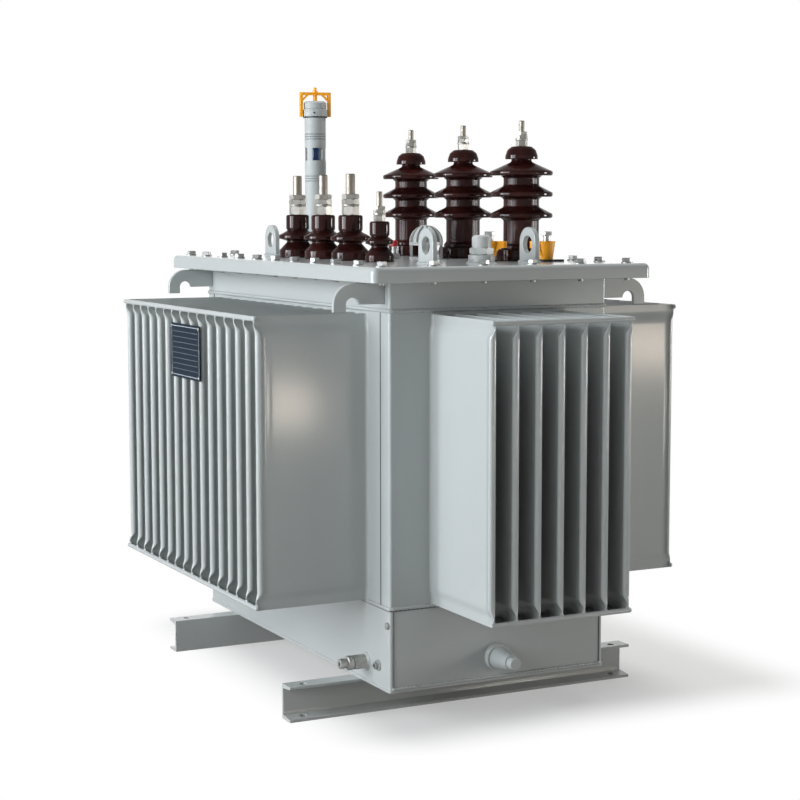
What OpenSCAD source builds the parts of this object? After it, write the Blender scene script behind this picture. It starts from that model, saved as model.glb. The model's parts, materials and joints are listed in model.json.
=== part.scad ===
// Oil-filled three-phase distribution transformer with corrugated cooling walls.
// Millimetres, +Z up, origin on the ground under the middle of the tank.
// The low-voltage side faces -X, the drain end faces -Y.

/* [Tank] */
// Width of the tank across X
tank_w = 546; // [480:1:700]
// Length of the tank along Y
tank_l = 1072; // [960:1:1400]
// Radius of the tank's upright corners
tank_corner_r = 6; // [4:1:20]
// Height of the plain lower box
base_h = 186; // [120:1:300]
// Height of the plain band above the corrugated walls
collar_h = 76; // [70:1:140]
// Thickness of the floor plate
floor_t = 8; // [5:1:14]
// How far the floor plate stands out past the walls
floor_lip = 2; // [1:1:10]

/* [Cooling fins] */
// Height of a fin
fin_h = 635; // [400:1:900]
// Reach of a fin from the tank wall to its rolled edge
fin_depth = 262; // [150:1:320]
// Thickness of a fin
fin_t = 10; // [6:0.5:12]
// Thickness of the thin blades at both ends of a fin
fin_blade_t = 3; // [2:0.5:5]
// Height of the thin blades
fin_blade_h = 14; // [12:1:24]
// Height over which a fin swells from the blade to its full thickness
fin_swell_h = 24; // [12:1:50]
// How far the blades flare out past the rolled edge
fin_flare = 3; // [1:1:14]
// Radius of the rolled outer edge of a fin
fin_edge_r = 7; // [6.5:0.5:9]
// Distance between neighbouring fins on the long sides
side_pitch = 56.5; // [45:0.1:58]
// Distance between neighbouring fins on the short sides
end_pitch = 55.1; // [45:0.1:58]
// Number of fins on each long side
side_fins = 16; // [4:1:17]
// Number of fins on each short side
end_fins = 7; // [3:1:8]
// Plain wall left between the lower seam and the fins
fin_gap_low = 2; // [2:1:20]
// Plain wall left between the fins and the upper seam
fin_gap_high = 9; // [4:1:24]
// Diameter of the bars along the outer ends of the fins
bar_d = 11; // [8:0.5:12]
// How far a bar runs on past the outermost fin
bar_overrun = 8.5; // [7:0.5:30]

/* [Cover] */
// How far the cover stands out past the tank on every side
cover_overhang = 74; // [60:1:90]
// Height of the turned-down rim of the cover
cover_rim_h = 33; // [30:1:50]
// Thickness of the cover plate
cover_t = 8; // [5:1:10]
// Thickness of the rim
rim_t = 6; // [4:1:8]
// Radius of the cover's corners seen from above
cover_corner_r = 15; // [15:1:50]
// Radius of the rolled edge round the top of the cover
cover_edge_r = 12; // [9:1:14]
// Thickness of the flange under the cover
flange_t = 12; // [8:1:16]
// Clearance between the flange and the rim
flange_gap = 3; // [1:0.5:6]

/* [Skids] */
// Height of the skid channel
skid_h = 80; // [60:1:120]
// Width of the skid flanges
skid_flange_w = 45; // [40:1:60]
// Thickness of the skid web
skid_web_t = 6; // [5:0.5:9]
// Thickness of a skid flange at its free edge
skid_tip_t = 6; // [4:0.5:9]
// Thickness of a skid flange at the web
skid_root_t = 10; // [6:0.5:13]
// Length of a skid
skid_l = 892; // [700:1:1100]
// Distance between the backs of the two skids
skid_spacing = 690; // [500:1:800]
// Diameter of the holes in the skid flanges
skid_hole_d = 16; // [12:0.5:22]
// Distance of the holes from the ends of a skid
skid_hole_end = 40; // [25:1:70]

/* [Lashing hooks] */
// Reach of a hook from the tank wall
hook_l = 121; // [95:1:140]
// Diameter of the hook's throat
hook_throat_d = 30; // [20:1:36]
// Width of the hook's curved arm
hook_arm_w = 30; // [22:1:36]
// Length of the tip below the curved arm
hook_tip_h = 16; // [6:1:24]
// Thickness of the hook plate
hook_t = 10; // [8:1:12]
// Distance of the hooks from the ends of the tank
hook_inset = 26; // [26:1:80]
// Gap between a hook and the cover rim
hook_drop = 3; // [1:1:10]

/* [Lifting lugs] */
// Width of a lifting lug
lug_w = 70; // [60:1:90]
// Height of a lifting lug
lug_h = 80; // [70:1:120]
// Thickness of a lifting lug
lug_t = 12; // [8:1:16]
// Diameter of the lug's eye
lug_eye_d = 39; // [28:1:42]
// Height of the eye above the cover
lug_eye_z = 41; // [36:1:48]
// Distance of the lugs in from the tank's long walls
lug_inset = 143; // [120:1:160]
// Distance of the rear lug on the high-voltage side in from the tank's long wall
rear_lug_inset = 163; // [120:1:180]
// Distance of the lugs in from the tank's ends
lug_end = 96; // [76:1:111]

/* [Low-voltage bushings] */
// Distance between neighbouring low-voltage bushings
lv_pitch = 156; // [120:1:180]
// Distance of the low-voltage row in from the tank wall
lv_inset = 126; // [80:1:140]
// Radius of the foot
lv_foot_r = 46; // [36:1:50]
// Height of the foot
lv_foot_h = 20; // [12:1:28]
// Radius of the waist under the shed
lv_waist_r = 25; // [20:1:27]
// Height of the waist
lv_waist_z = 41; // [34:1:44]
// Radius of the shed
lv_shed_r = 48; // [40:1:55]
// Height of the shed's rim
lv_shed_z = 52; // [50:1:57]
// Height of the neck over the shed
lv_neck_z = 66; // [62:1:75]
// Radius of the upper body
lv_body_r = 29; // [26:1:34]
// Height of the porcelain
lv_h = 107; // [95:1:130]
// Diameter of the low-voltage stud
lv_stud_d = 22; // [16:1:30]
// Height of the low-voltage stud's top above the porcelain
lv_stud_h = 97; // [80:1:120]
// Width across flats of the low-voltage nuts
lv_nut_af = 37; // [34:1:46]
// Height of the low-voltage collar nut
lv_collar_h = 21; // [14:1:28]
// Height of each upper low-voltage nut
lv_nut_h = 13; // [10:1:18]

/* [Neutral bushing] */
// Radius of the foot
neutral_foot_r = 34; // [30:1:42]
// Height of the foot
neutral_foot_h = 16; // [10:1:22]
// Radius of the waist under the shed
neutral_waist_r = 17; // [14:1:20]
// Height of the waist
neutral_waist_z = 36; // [30:1:38]
// Radius of the shed
neutral_shed_r = 32; // [28:1:40]
// Height of the shed's rim
neutral_shed_z = 45; // [43:1:49]
// Height of the neck over the shed
neutral_neck_z = 57; // [54:1:64]
// Radius of the upper body
neutral_body_r = 23; // [20:1:27]
// Height of the porcelain
neutral_h = 93; // [82:1:115]
// Diameter of the neutral stud
neutral_stud_d = 13; // [10:1:20]
// Height of the neutral stud's top above the porcelain
neutral_stud_h = 68; // [55:1:90]
// Width across flats of the neutral nuts
neutral_nut_af = 24; // [22:1:32]
// Height of the neutral collar nut
neutral_collar_h = 14; // [10:1:20]
// Height of each upper neutral nut
neutral_nut_h = 9; // [7:1:13]

/* [High-voltage bushings] */
// Distance between neighbouring high-voltage bushings
hv_pitch = 284; // [220:1:300]
// Distance of the high-voltage row in from the tank wall
hv_inset = 73; // [66:1:90]
// Radius of the foot
hv_foot_r = 60; // [52:1:66]
// Height of the foot
hv_foot_h = 27; // [20:1:36]
// Radius of the ring bead above the foot
hv_bead_r = 6; // [4:0.5:8]
// Radius of the body between the sheds
hv_body_r = 42; // [36:1:48]
// Radius of the sheds
hv_shed_r = 74; // [62:1:80]
// Height of the lowest shed's rim
hv_shed_z = 104.5; // [80:0.5:110]
// Distance between neighbouring sheds
hv_shed_pitch = 49.5; // [44:0.5:60]
// Height of the slope on top of a shed
hv_slope_h = 21; // [14:1:28]
// Radius of the lips of the sheds
hv_lip_r = 5.5; // [3:0.5:6]
// Fall of a shed's underside towards the body
hv_drop = 6; // [2:1:9]
// Radius of the neck under the cap
hv_neck_r = 23; // [18:1:28]
// Height of the slope from the top shed up to the neck
hv_neck_h = 29; // [26:1:44]
// Height of the groove under the cap
hv_groove_h = 4; // [2:1:8]
// Radius of the cap
hv_cap_r = 39; // [34:1:44]
// Height of the cap
hv_cap_h = 30; // [28:1:40]
// Radius of the cap's upper edge
hv_cap_edge_r = 17; // [10:1:17]
// Diameter of the high-voltage stud
hv_stud_d = 13; // [10:1:20]
// Height of the high-voltage stud's top above the porcelain
hv_stud_h = 60; // [45:1:80]
// Width across flats of the high-voltage nuts
hv_nut_af = 26; // [22:1:32]
// Height of the high-voltage collar nut
hv_collar_h = 15; // [10:1:20]
// Height of each upper high-voltage nut
hv_nut_h = 9.5; // [7:0.5:13]

/* [Terminal washers] */
// Thickness of the washers between the nuts
washer_t = 2.5; // [1.5:0.5:4]
// How far a washer stands out past the nuts' flats
washer_out = 3; // [1:0.5:5]
// Turn of the top nut against the nut below
nut_turn = 20; // [0:1:59]

/* [Level gauge] */
// Distance of the gauge in from the tank's rear end
gauge_end = 86; // [56:1:106]
// Turn of the gauge about its own axis
gauge_turn = -12; // [-45:1:45]
// Diameter of the gauge tube
gauge_d = 56; // [48:1:60]
// Height of the gauge tube above the cover
gauge_h = 361; // [330:1:450]
// Diameter of the foot of the tube
gauge_foot_d = 76; // [64:1:90]
// Height of the foot of the tube
gauge_foot_h = 10; // [6:1:16]
// Width of the sight windows
window_w = 26; // [18:1:30]
// Height of the sight windows
window_h = 33; // [24:1:50]
// Height of the sill of the sight windows above the cover
window_z = 249; // [220:1:260]
// Diameter of the float behind the windows
float_d = 26; // [18:1:30]
// Depth of the grooves round the tube
groove_depth = 0.8; // [0.4:0.1:1.5]
// Width of the grooves round the tube
groove_w = 2; // [1:0.5:3]
// Distance between neighbouring grooves
groove_pitch = 6.5; // [5:0.5:9]
// Height of the lower grooves above the cover
groove_low_z = 194; // [180:1:200]
// Height of the upper grooves above the cover
groove_high_z = 304; // [296:1:310]
// Diameter of the gasket under the head
gasket_d = 64; // [58:1:68]
// Thickness of the gasket under the head
gasket_t = 3; // [2:0.5:6]
// Diameter of the collar of the head
head_collar_d = 66; // [62:1:72]
// Height of the collar of the head
head_collar_h = 20; // [14:1:30]
// Diameter of the cap of the head
head_cap_d = 60; // [52:1:62]
// Draft of the collar of the head
head_draft = 1; // [0.5:0.5:2]
// Height of the cap of the head
head_cap_h = 21; // [14:1:30]
// Chamfer round the top of the cap
head_chamfer = 4; // [2:0.5:6]
// Width of the yoke over the head
yoke_w = 82; // [82:1:92]
// Clear height between the cap and the yoke's bar
yoke_rise = 15.5; // [12:0.5:24]
// Thickness of the yoke
yoke_t = 7; // [4:1:7]
// Width of the yoke strip
yoke_strip_w = 16; // [10:1:22]
// Reach of the yoke's corner struts
yoke_strut = 16; // [10:1:20]
// Thickness of the yoke's corner struts
yoke_strut_t = 5; // [3:1:7]
// Diameter of the boss on the yoke's bar
yoke_boss_d = 16; // [13:1:20]
// Height of the boss on the yoke's bar
yoke_boss_h = 3; // [2:1:6]
// Diameter of the yoke's screw
yoke_screw_d = 11; // [8:1:14]
// Diameter of the knob on the screw
yoke_knob_d = 9; // [6:1:12]
// Height of the knob on the screw
yoke_knob_h = 11; // [8:1:16]

/* [Oil filler] */
// Distance of the filler in from the tank's drain end
filler_end = 86; // [56:1:106]
// Diameter of the filler flange
filler_d = 59; // [54:1:66]
// Height of the filler flange
filler_flange_h = 14; // [10:1:22]
// Width of the weld foot round the flange
filler_weld = 5; // [3:0.5:8]
// Height of the groove above the flange
filler_groove_h = 2; // [1:0.5:4]
// Width across flats of the filler nut
filler_nut_af = 47; // [44:1:52]
// Height of the filler nut
filler_nut_h = 14; // [10:1:20]
// Diameter of the filler cap
filler_cap_d = 43; // [34:1:43]
// Height of the filler cap above its nut
filler_cap_h = 28; // [18:1:34]
// Chamfer round the top of the filler cap
filler_chamfer = 4; // [2:0.5:6]

/* [Relief valve] */
// Distance of the relief valve from the high-voltage row
relief_gap_x = 130; // [115:1:140]
// Place of the relief valve along Y, towards the drain end
relief_y = 50; // [0:1:110]
// Radius of the relief valve's domed hood
relief_r = 41; // [34:1:44]
// Height of the frame under the hood
relief_frame_h = 38; // [28:1:50]
// Thickness of the frame's plates
relief_plate_t = 5; // [3:0.5:8]
// Thickness of the frame's posts
relief_post = 7; // [5:1:10]
// Diameter of the valve stem
relief_stem_d = 26; // [18:1:34]
// Height of the hood's plain skirt
hood_skirt = 3; // [2:1:10]
// Number of ribs on the hood
hood_ribs = 10; // [6:1:12]
// Depth of the grooves between the ribs
hood_groove = 6; // [1:0.5:8]
// Radius of the plain crown of the hood
hood_crown_r = 12; // [9:1:18]
// Width of a groove, in degrees round the hood
hood_groove_deg = 19; // [10:1:24]

/* [Tap switches] */
// Distance of the end switch past the last high-voltage bushing, along Y
tap_end_gap = 116; // [112:1:130]
// Distance of the inner switch in from the high-voltage row, across X
tap_side_gap = 108; // [106:1:115]
// Distance of the inner switch past the last high-voltage bushing, along Y
tap_side_shift = 41; // [36:1:48]
// Radius of the base disc
tap_base_r = 18; // [16:1:30]
// Height of the base disc
tap_base_h = 5; // [3:1:10]
// Length of the tongue of the base, from the hub's axis
tap_tongue_l = 42; // [30:1:50]
// Width of the tongue of the base
tap_tongue_w = 12; // [8:1:16]
// Height of the handle above its base
tap_handle_h = 42; // [36:1:56]
// Radius of the handle's hub at its top
tap_hub_r = 20; // [17:1:24]
// Radius of the handle's hub at its foot
tap_foot_r = 14; // [9:0.5:15]
// Length of the handle's lever from the hub's axis
tap_lever_l = 40; // [36:1:54]
// Width of the lever
tap_lever_w = 18; // [12:1:22]
// Height of the lever
tap_lever_h = 16; // [10:1:20]
// Radius of the hollow under the lever
tap_hollow_r = 18; // [10:1:20]
// Diameter of the lock bolt's shank
lock_shank_d = 16; // [12:1:18]
// Height of the lock bolt's shank
lock_shank_h = 13; // [8:1:18]
// Width across flats of the lock bolt's head
lock_head_af = 21; // [18:1:26]
// Height of the lock bolt's head
lock_head_h = 9; // [6:1:12]

/* [Thermometer pocket] */
// Place of the pocket across X
pocket_x = 8; // [-10:1:15]
// Height of the pocket
pocket_h = 30; // [20:1:40]
// Diameter of the pocket's neck
pocket_d = 14; // [10:1:18]
// Width across flats of the pocket's nut
pocket_nut_af = 27; // [20:1:32]
// Height of the pocket's nut
pocket_nut_h = 12; // [8:1:16]
// Diameter of the pocket's cap
pocket_cap_d = 17; // [15:1:24]
// Height of the pocket's cap
pocket_cap_h = 15; // [10:1:20]
// Chamfer round the top of the pocket's cap
pocket_chamfer = 3; // [1:0.5:5]

/* [Rating plate] */
// Width of the rating plate
plate_w = 192; // [140:1:240]
// Height of the rating plate
plate_h = 127; // [90:1:160]
// Distance of the plate's top below the top of the fins
plate_drop = 40; // [38:1:200]
// Thickness of the rating plate
plate_t = 2; // [1:0.5:4]
// Radius of the plate's corners
plate_corner_r = 6; // [2:1:12]

/* [Drain valve] */
// Height of the drain valve above the tank's floor
valve_rise = 48; // [36:1:90]
// Distance of the drain valve from the drain end
valve_inset = 116; // [108:1:160]
// Diameter of the drain valve's body
valve_d = 32; // [26:1:40]
// Length of the drain valve's body
valve_l = 34; // [24:1:44]
// Width of the weld foot round the body
valve_weld = 5; // [3:0.5:8]
// Diameter of the groove behind the valve's ring
valve_groove_d = 26; // [22:1:30]
// Length of the groove behind the valve's ring
valve_groove_l = 3; // [2:0.5:6]
// Length of the valve's ring
valve_ring_l = 12; // [8:1:16]
// Width across flats of the valve's stem
valve_stem_af = 22; // [16:1:26]
// Length of the valve's stem
valve_stem_l = 18; // [12:1:24]

/* [Earth terminal] */
// Height of the earth terminal above the tank's floor
earth_rise = 52; // [36:1:90]
// Distance of the earth terminal from the drain end
earth_inset = 56; // [45:1:66]
// Diameter of the boss
earth_boss_d = 27; // [22:1:34]
// Length of the boss
earth_boss_l = 6; // [4:1:12]
// Diameter of the washer
earth_washer_d = 23; // [20:1:26]
// Thickness of the washer
earth_washer_t = 2; // [1:0.5:4]
// Width across flats of the bolt's head
earth_head_af = 18; // [13:1:21]
// Height of the bolt's head
earth_head_h = 8; // [5:1:12]

/* [Drain plug] */
// Height of the drain plug above the tank's floor
plug_rise = 54; // [48:1:90]
// Place of the drain plug across X, towards the low-voltage side
plug_x = 7; // [0:1:100]
// Diameter of the drain plug's collar
plug_d = 62; // [52:1:70]
// Length of the drain plug's collar
plug_collar_l = 16; // [10:1:24]
// Diameter of the taper where it leaves the collar
plug_taper_d = 50; // [44:1:52]
// Diameter of the taper at its end
plug_end_d = 35; // [30:1:40]
// Length of the taper
plug_taper_l = 52; // [40:1:66]
// Diameter of the end spigot
plug_spigot_d = 27; // [22:1:30]
// Length of the end spigot
plug_spigot_l = 18; // [12:1:26]

/* [Hidden] */
$fn = 64;
seat = 0.3;
eps = 1;
porcelain_lip = 3;
paint = "#c2c8ce";
porcelain = "#3a1a17";
tin = "#c9c8c2";
amber = "#f59a12";
dark = "#26282a";
blue = "#2a63c8";
navy = "#1d2a44";
red = "#c8202a";

// Heights of the seams, from the ground up
base_top = skid_h + base_h;
fin_z = base_top + fin_gap_low;
fin_top = fin_z + fin_h;
wall_top = fin_top + fin_gap_high;
collar_top = wall_top + collar_h;
flange_top = collar_top + flange_t;
cover_top = flange_top + cover_t;
cover_w = tank_w + 2 * cover_overhang;
cover_l = tank_l + 2 * cover_overhang;
rim_bottom = cover_top - cover_rim_h;

fin_end_h = fin_blade_h + fin_swell_h;
fin_edge_x = fin_depth - fin_edge_r;
fin_reach = fin_depth + fin_flare;
bar_r = bar_d / 2;
side_span = (side_fins - 1) * side_pitch;
end_span = (end_fins - 1) * end_pitch;

hook_arm_r = hook_throat_d / 2 + hook_arm_w;
hook_bend = hook_l - hook_arm_r;

lug_x = tank_w / 2 - lug_inset;
rear_lug_x = tank_w / 2 - rear_lug_inset;
lug_y = tank_l / 2 - lug_end;
gauge_y = tank_l / 2 - gauge_end;
filler_y = tank_l / 2 - filler_end;
lv_x = tank_w / 2 - lv_inset;
hv_x = tank_w / 2 - hv_inset;
relief_x = hv_x - relief_gap_x;
tap_x = hv_x - tap_side_gap;
tap_end_y = hv_pitch + tap_end_gap;
tap_side_y = hv_pitch + tap_side_shift;
tap_end_turn = 165;
tap_side_turn = -35;
relief_turn = 63;

hv_top_shed_z = hv_shed_z + 2 * hv_shed_pitch;
hv_neck_z = hv_top_shed_z + hv_neck_h;
hv_cap_z = hv_neck_z + hv_groove_h;
hv_h = hv_cap_z + hv_cap_h;

head_z = gauge_h + gasket_t;
cap_z = head_collar_h + head_cap_h;
yoke_z = cap_z + yoke_rise;

// Rounded rectangle about the origin
module rounded_rect(w, l, r) {
    square([w - 2 * r, l], center = true);
    square([w, l - 2 * r], center = true);
    for (x = [-1, 1], y = [-1, 1])
        translate([x * (w / 2 - r), y * (l / 2 - r)])
            circle(r);
}

// Upright block with round corners, standing on z = 0
module rounded_block(w, l, h, r) {
    linear_extrude(h)
        rounded_rect(w, l, r);
}

// Hexagon bar by its width across flats
module hex(af, h) {
    cylinder(h = h, d = af / cos(30), $fn = 6);
}

// Round cap with a chamfered top, standing on z = 0
module chamfered_cap(d, h, chamfer) {
    cylinder(h = h - chamfer, d = d);
    translate([0, 0, h - chamfer])
        cylinder(h = chamfer, d1 = d, d2 = d - 2 * chamfer);
}

module tank_base() {
    color(paint)
        translate([0, 0, skid_h]) {
            rounded_block(tank_w, tank_l, base_h, tank_corner_r);
            rounded_block(tank_w + 2 * floor_lip, tank_l + 2 * floor_lip, floor_t,
                tank_corner_r + floor_lip);
        }
}

module tank_wall() {
    color(paint)
        translate([0, 0, base_top])
            rounded_block(tank_w, tank_l, wall_top - base_top, tank_corner_r);
}

module tank_collar() {
    color(paint)
        translate([0, 0, wall_top])
            rounded_block(tank_w, tank_l, collar_h, tank_corner_r);
}

module tank_flange() {
    inset = rim_t + flange_gap;
    color(paint)
        translate([0, 0, collar_top])
            rounded_block(cover_w - 2 * inset, cover_l - 2 * inset, flange_t, cover_corner_r - inset);
}

// Section through the rim from the corner's centre outwards: plate, rolled edge and turned-down rim
module rim_section() {
    difference() {
        union() {
            square([cover_corner_r, cover_rim_h - cover_edge_r]);
            square([cover_corner_r - cover_edge_r, cover_rim_h]);
            translate([cover_corner_r - cover_edge_r, cover_rim_h - cover_edge_r])
                intersection() {
                    circle(cover_edge_r);
                    translate([-eps, -eps])
                        square(cover_edge_r + eps);
                }
        }
        translate([-eps, -eps])
            square([cover_corner_r - rim_t + eps, cover_rim_h - cover_t + eps]);
    }
}

// One straight rim along Y, its corner centres on x = 0
module rim_side(l) {
    rotate([90, 0, 0])
        linear_extrude(l, center = true)
            rim_section();
}

module cover() {
    flat_w = cover_w - 2 * cover_corner_r;
    flat_l = cover_l - 2 * cover_corner_r;
    color(paint)
        translate([0, 0, rim_bottom]) {
            translate([-flat_w / 2, -flat_l / 2, cover_rim_h - cover_t])
                cube([flat_w, flat_l, cover_t]);
            for (side = [0, 1])
                rotate([0, 0, 180 * side]) {
                    translate([flat_w / 2, 0, 0])
                        rim_side(flat_l);
                    rotate([0, 0, 90])
                        translate([flat_l / 2, 0, 0])
                            rim_side(flat_w);
                    translate([flat_w / 2, flat_l / 2, 0])
                        rotate_extrude(angle = 90)
                            rim_section();
                    translate([-flat_w / 2, flat_l / 2, 0])
                        rotate([0, 0, 90])
                            rotate_extrude(angle = 90)
                                rim_section();
                }
        }
}

// Side view of a fin: flat body whose blades flare out to the bars
module fin_side() {
    polygon([[0, 0], [fin_reach, 0], [fin_reach, fin_blade_h], [fin_edge_x, fin_end_h],
        [fin_edge_x, fin_h - fin_end_h], [fin_reach, fin_h - fin_blade_h], [fin_reach, fin_h], [0, fin_h]]);
}

// End view of a fin: thin blades that swell to the full thickness
module fin_front() {
    thin = fin_blade_t / 2;
    thick = fin_t / 2;
    polygon([[-thin, 0], [thin, 0], [thin, fin_blade_h], [thick, fin_end_h],
        [thick, fin_h - fin_end_h], [thin, fin_h - fin_blade_h], [thin, fin_h], [-thin, fin_h],
        [-thin, fin_h - fin_blade_h], [-thick, fin_h - fin_end_h], [-thick, fin_end_h],
        [-thin, fin_blade_h]]);
}

// One fin on the plane x = 0, reaching along +X
module fin() {
    difference() {
        union() {
            intersection() {
                rotate([90, 0, 0])
                    linear_extrude(fin_t + eps, center = true)
                        fin_side();
                rotate([90, 0, 90])
                    linear_extrude(fin_reach + eps)
                        fin_front();
            }
            translate([fin_edge_x, 0, 0]) {
                translate([0, 0, fin_end_h])
                    cylinder(h = fin_h - 2 * fin_end_h, r = fin_edge_r);
                for (z = [fin_end_h, fin_h - fin_end_h])
                    translate([0, 0, z])
                        sphere(fin_edge_r);
            }
        }
        for (z = [bar_r, fin_h - bar_r])
            translate([fin_reach, 0, z])
                rotate([90, 0, 0])
                    cylinder(h = 2 * fin_t, r = bar_r + seat, center = true);
    }
}

// A row of fins along Y on the plane x = 0
module fin_row(count, pitch) {
    for (i = [0 : count - 1])
        translate([0, (i - (count - 1) / 2) * pitch, 0])
            fin();
}

// The two bars along the outer ends of a row of fins
module fin_bars(span) {
    run = span + 2 * bar_overrun - 2 * bar_r;
    for (z = [bar_r, fin_h - bar_r])
        translate([fin_reach, 0, z]) {
            rotate([90, 0, 0])
                cylinder(h = run, r = bar_r, center = true);
            for (s = [-1, 1])
                translate([0, s * run / 2, 0])
                    sphere(bar_r);
        }
}

// Places a row made on x = 0 against one of the four tank walls
module on_wall(turn, half) {
    rotate([0, 0, turn])
        translate([half, 0, fin_z])
            children();
}

module left_fins() {
    color(paint) on_wall(180, tank_w / 2) fin_row(side_fins, side_pitch);
}

module right_fins() {
    color(paint) on_wall(0, tank_w / 2) fin_row(side_fins, side_pitch);
}

module front_fins() {
    color(paint) on_wall(-90, tank_l / 2) fin_row(end_fins, end_pitch);
}

module rear_fins() {
    color(paint) on_wall(90, tank_l / 2) fin_row(end_fins, end_pitch);
}

module left_fin_bars() {
    color(paint) on_wall(180, tank_w / 2) fin_bars(side_span);
}

module right_fin_bars() {
    color(paint) on_wall(0, tank_w / 2) fin_bars(side_span);
}

module front_fin_bars() {
    color(paint) on_wall(-90, tank_l / 2) fin_bars(end_span);
}

module rear_fin_bars() {
    color(paint) on_wall(90, tank_l / 2) fin_bars(end_span);
}

// Channel section with its back on x = 0 and tapered flanges along +X
module channel_section() {
    polygon([[0, 0], [skid_flange_w, 0], [skid_flange_w, skid_tip_t], [skid_web_t, skid_root_t],
        [skid_web_t, skid_h - skid_root_t], [skid_flange_w, skid_h - skid_tip_t], [skid_flange_w, skid_h],
        [0, skid_h]]);
}

// Skid along X with its back towards the middle of the tank and its flanges along -Y
module skid() {
    hole_y = (skid_flange_w + skid_web_t) / 2;
    difference() {
        rotate([90, 0, -90])
            linear_extrude(skid_l, center = true)
                channel_section();
        for (s = [-1, 1])
            translate([s * (skid_l / 2 - skid_hole_end), -hole_y, -eps])
                cylinder(h = skid_h + 2 * eps, d = skid_hole_d);
    }
}

module front_skid() {
    color(paint)
        translate([0, -skid_spacing / 2, 0])
            skid();
}

module rear_skid() {
    color(paint)
        rotate([0, 0, 180])
            translate([0, -skid_spacing / 2, 0])
                skid();
}

// Hook outline, its top on y = 0 and its root on x = 0
module hook_outline() {
    difference() {
        union() {
            translate([0, -hook_arm_r])
                square([hook_bend, hook_arm_r]);
            intersection() {
                translate([hook_bend, -hook_arm_r])
                    circle(hook_arm_r);
                translate([hook_bend - eps, -hook_arm_r])
                    square(hook_arm_r + eps);
            }
            translate([hook_l - hook_arm_w, -hook_arm_r - hook_tip_h])
                square([hook_arm_w, hook_tip_h + eps]);
        }
        translate([hook_bend, -hook_arm_r])
            circle(d = hook_throat_d);
    }
}

// The two hooks on the +X side
module hook_pair() {
    for (s = [-1, 1])
        translate([tank_w / 2, s * (tank_l / 2 - hook_inset), rim_bottom - hook_drop])
            rotate([90, 0, 0])
                linear_extrude(hook_t, center = true)
                    hook_outline();
}

module left_hooks() {
    color(paint) rotate([0, 0, 180]) hook_pair();
}

module right_hooks() {
    color(paint) hook_pair();
}

// Lug plate across Y with a round top and an eye along X
module lug() {
    rotate([90, 0, 90])
        linear_extrude(lug_t, center = true)
            difference() {
                union() {
                    translate([-lug_w / 2, 0])
                        square([lug_w, lug_h - lug_w / 2]);
                    translate([0, lug_h - lug_w / 2])
                        circle(d = lug_w);
                }
                translate([0, lug_eye_z])
                    circle(d = lug_eye_d);
            }
}

module lug_pair(left_x, right_x, y) {
    for (x = [-left_x, right_x])
        translate([x, y, cover_top])
            lug();
}

module front_lugs() {
    color(paint) lug_pair(lug_x, lug_x, -lug_y);
}

module rear_lugs() {
    color(paint) lug_pair(lug_x, rear_lug_x, lug_y);
}

// Small porcelain bushing: round foot, waist, one shed, upper body
module small_bushing(foot_r, foot_h, waist_r, waist_z, shed_r, shed_z, neck_z, body_r, h) {
    lip = porcelain_lip;
    rotate_extrude() {
        polygon([[0, 0], [foot_r, 0], [foot_r, foot_h], [waist_r, waist_z], [shed_r - lip, shed_z - lip],
            [shed_r - lip, shed_z + lip], [waist_r, neck_z], [waist_r, neck_z + lip], [body_r, neck_z + lip],
            [body_r, h - lip], [body_r - lip, h], [0, h]]);
        translate([shed_r - lip, shed_z])
            circle(lip);
    }
}

// Stud with a lower collar nut, a washer and two nuts, standing on z = 0
module terminal(stud_d, stud_h, nut_af, collar_nut_h, nut_h) {
    cylinder(h = stud_h, d = stud_d);
    hex(nut_af, collar_nut_h);
    translate([0, 0, collar_nut_h])
        cylinder(h = washer_t, d = nut_af + 2 * washer_out);
    translate([0, 0, collar_nut_h + washer_t]) {
        hex(nut_af, nut_h);
        translate([0, 0, nut_h])
            rotate([0, 0, nut_turn])
                hex(nut_af, nut_h);
    }
}

// Place of low-voltage row bushing i, counted from the far end
module at_lv(i, z) {
    translate([-lv_x, (1.5 - i) * lv_pitch, cover_top + z])
        children();
}

module lv_bushing(i) {
    color(porcelain)
        at_lv(i, 0)
            small_bushing(lv_foot_r, lv_foot_h, lv_waist_r, lv_waist_z, lv_shed_r, lv_shed_z, lv_neck_z,
                lv_body_r, lv_h);
}

module lv_bushing_1() {
    lv_bushing(0);
}

module lv_bushing_2() {
    lv_bushing(1);
}

module lv_bushing_3() {
    lv_bushing(2);
}

module neutral_bushing() {
    color(porcelain)
        at_lv(3, 0)
            small_bushing(neutral_foot_r, neutral_foot_h, neutral_waist_r, neutral_waist_z, neutral_shed_r,
                neutral_shed_z, neutral_neck_z, neutral_body_r, neutral_h);
}

// Studs of the three low-voltage bushings and of the neutral bushing
module lv_terminals() {
    color(tin) {
        for (i = [0 : 2])
            at_lv(i, lv_h)
                terminal(lv_stud_d, lv_stud_h, lv_nut_af, lv_collar_h, lv_nut_h);
        at_lv(3, neutral_h)
            terminal(neutral_stud_d, neutral_stud_h, neutral_nut_af, neutral_collar_h, neutral_nut_h);
    }
}

// Shed with a round lip at r, its top sloping up to radius top_r over height slope_h
module shed(r, top_r, slope_h) {
    polygon([[0, -hv_lip_r - hv_drop], [hv_body_r, -hv_lip_r - hv_drop], [r - hv_lip_r, -hv_lip_r],
        [r - hv_lip_r, hv_lip_r], [top_r, slope_h], [0, slope_h]]);
    translate([r - hv_lip_r, 0])
        circle(hv_lip_r);
}

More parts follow.
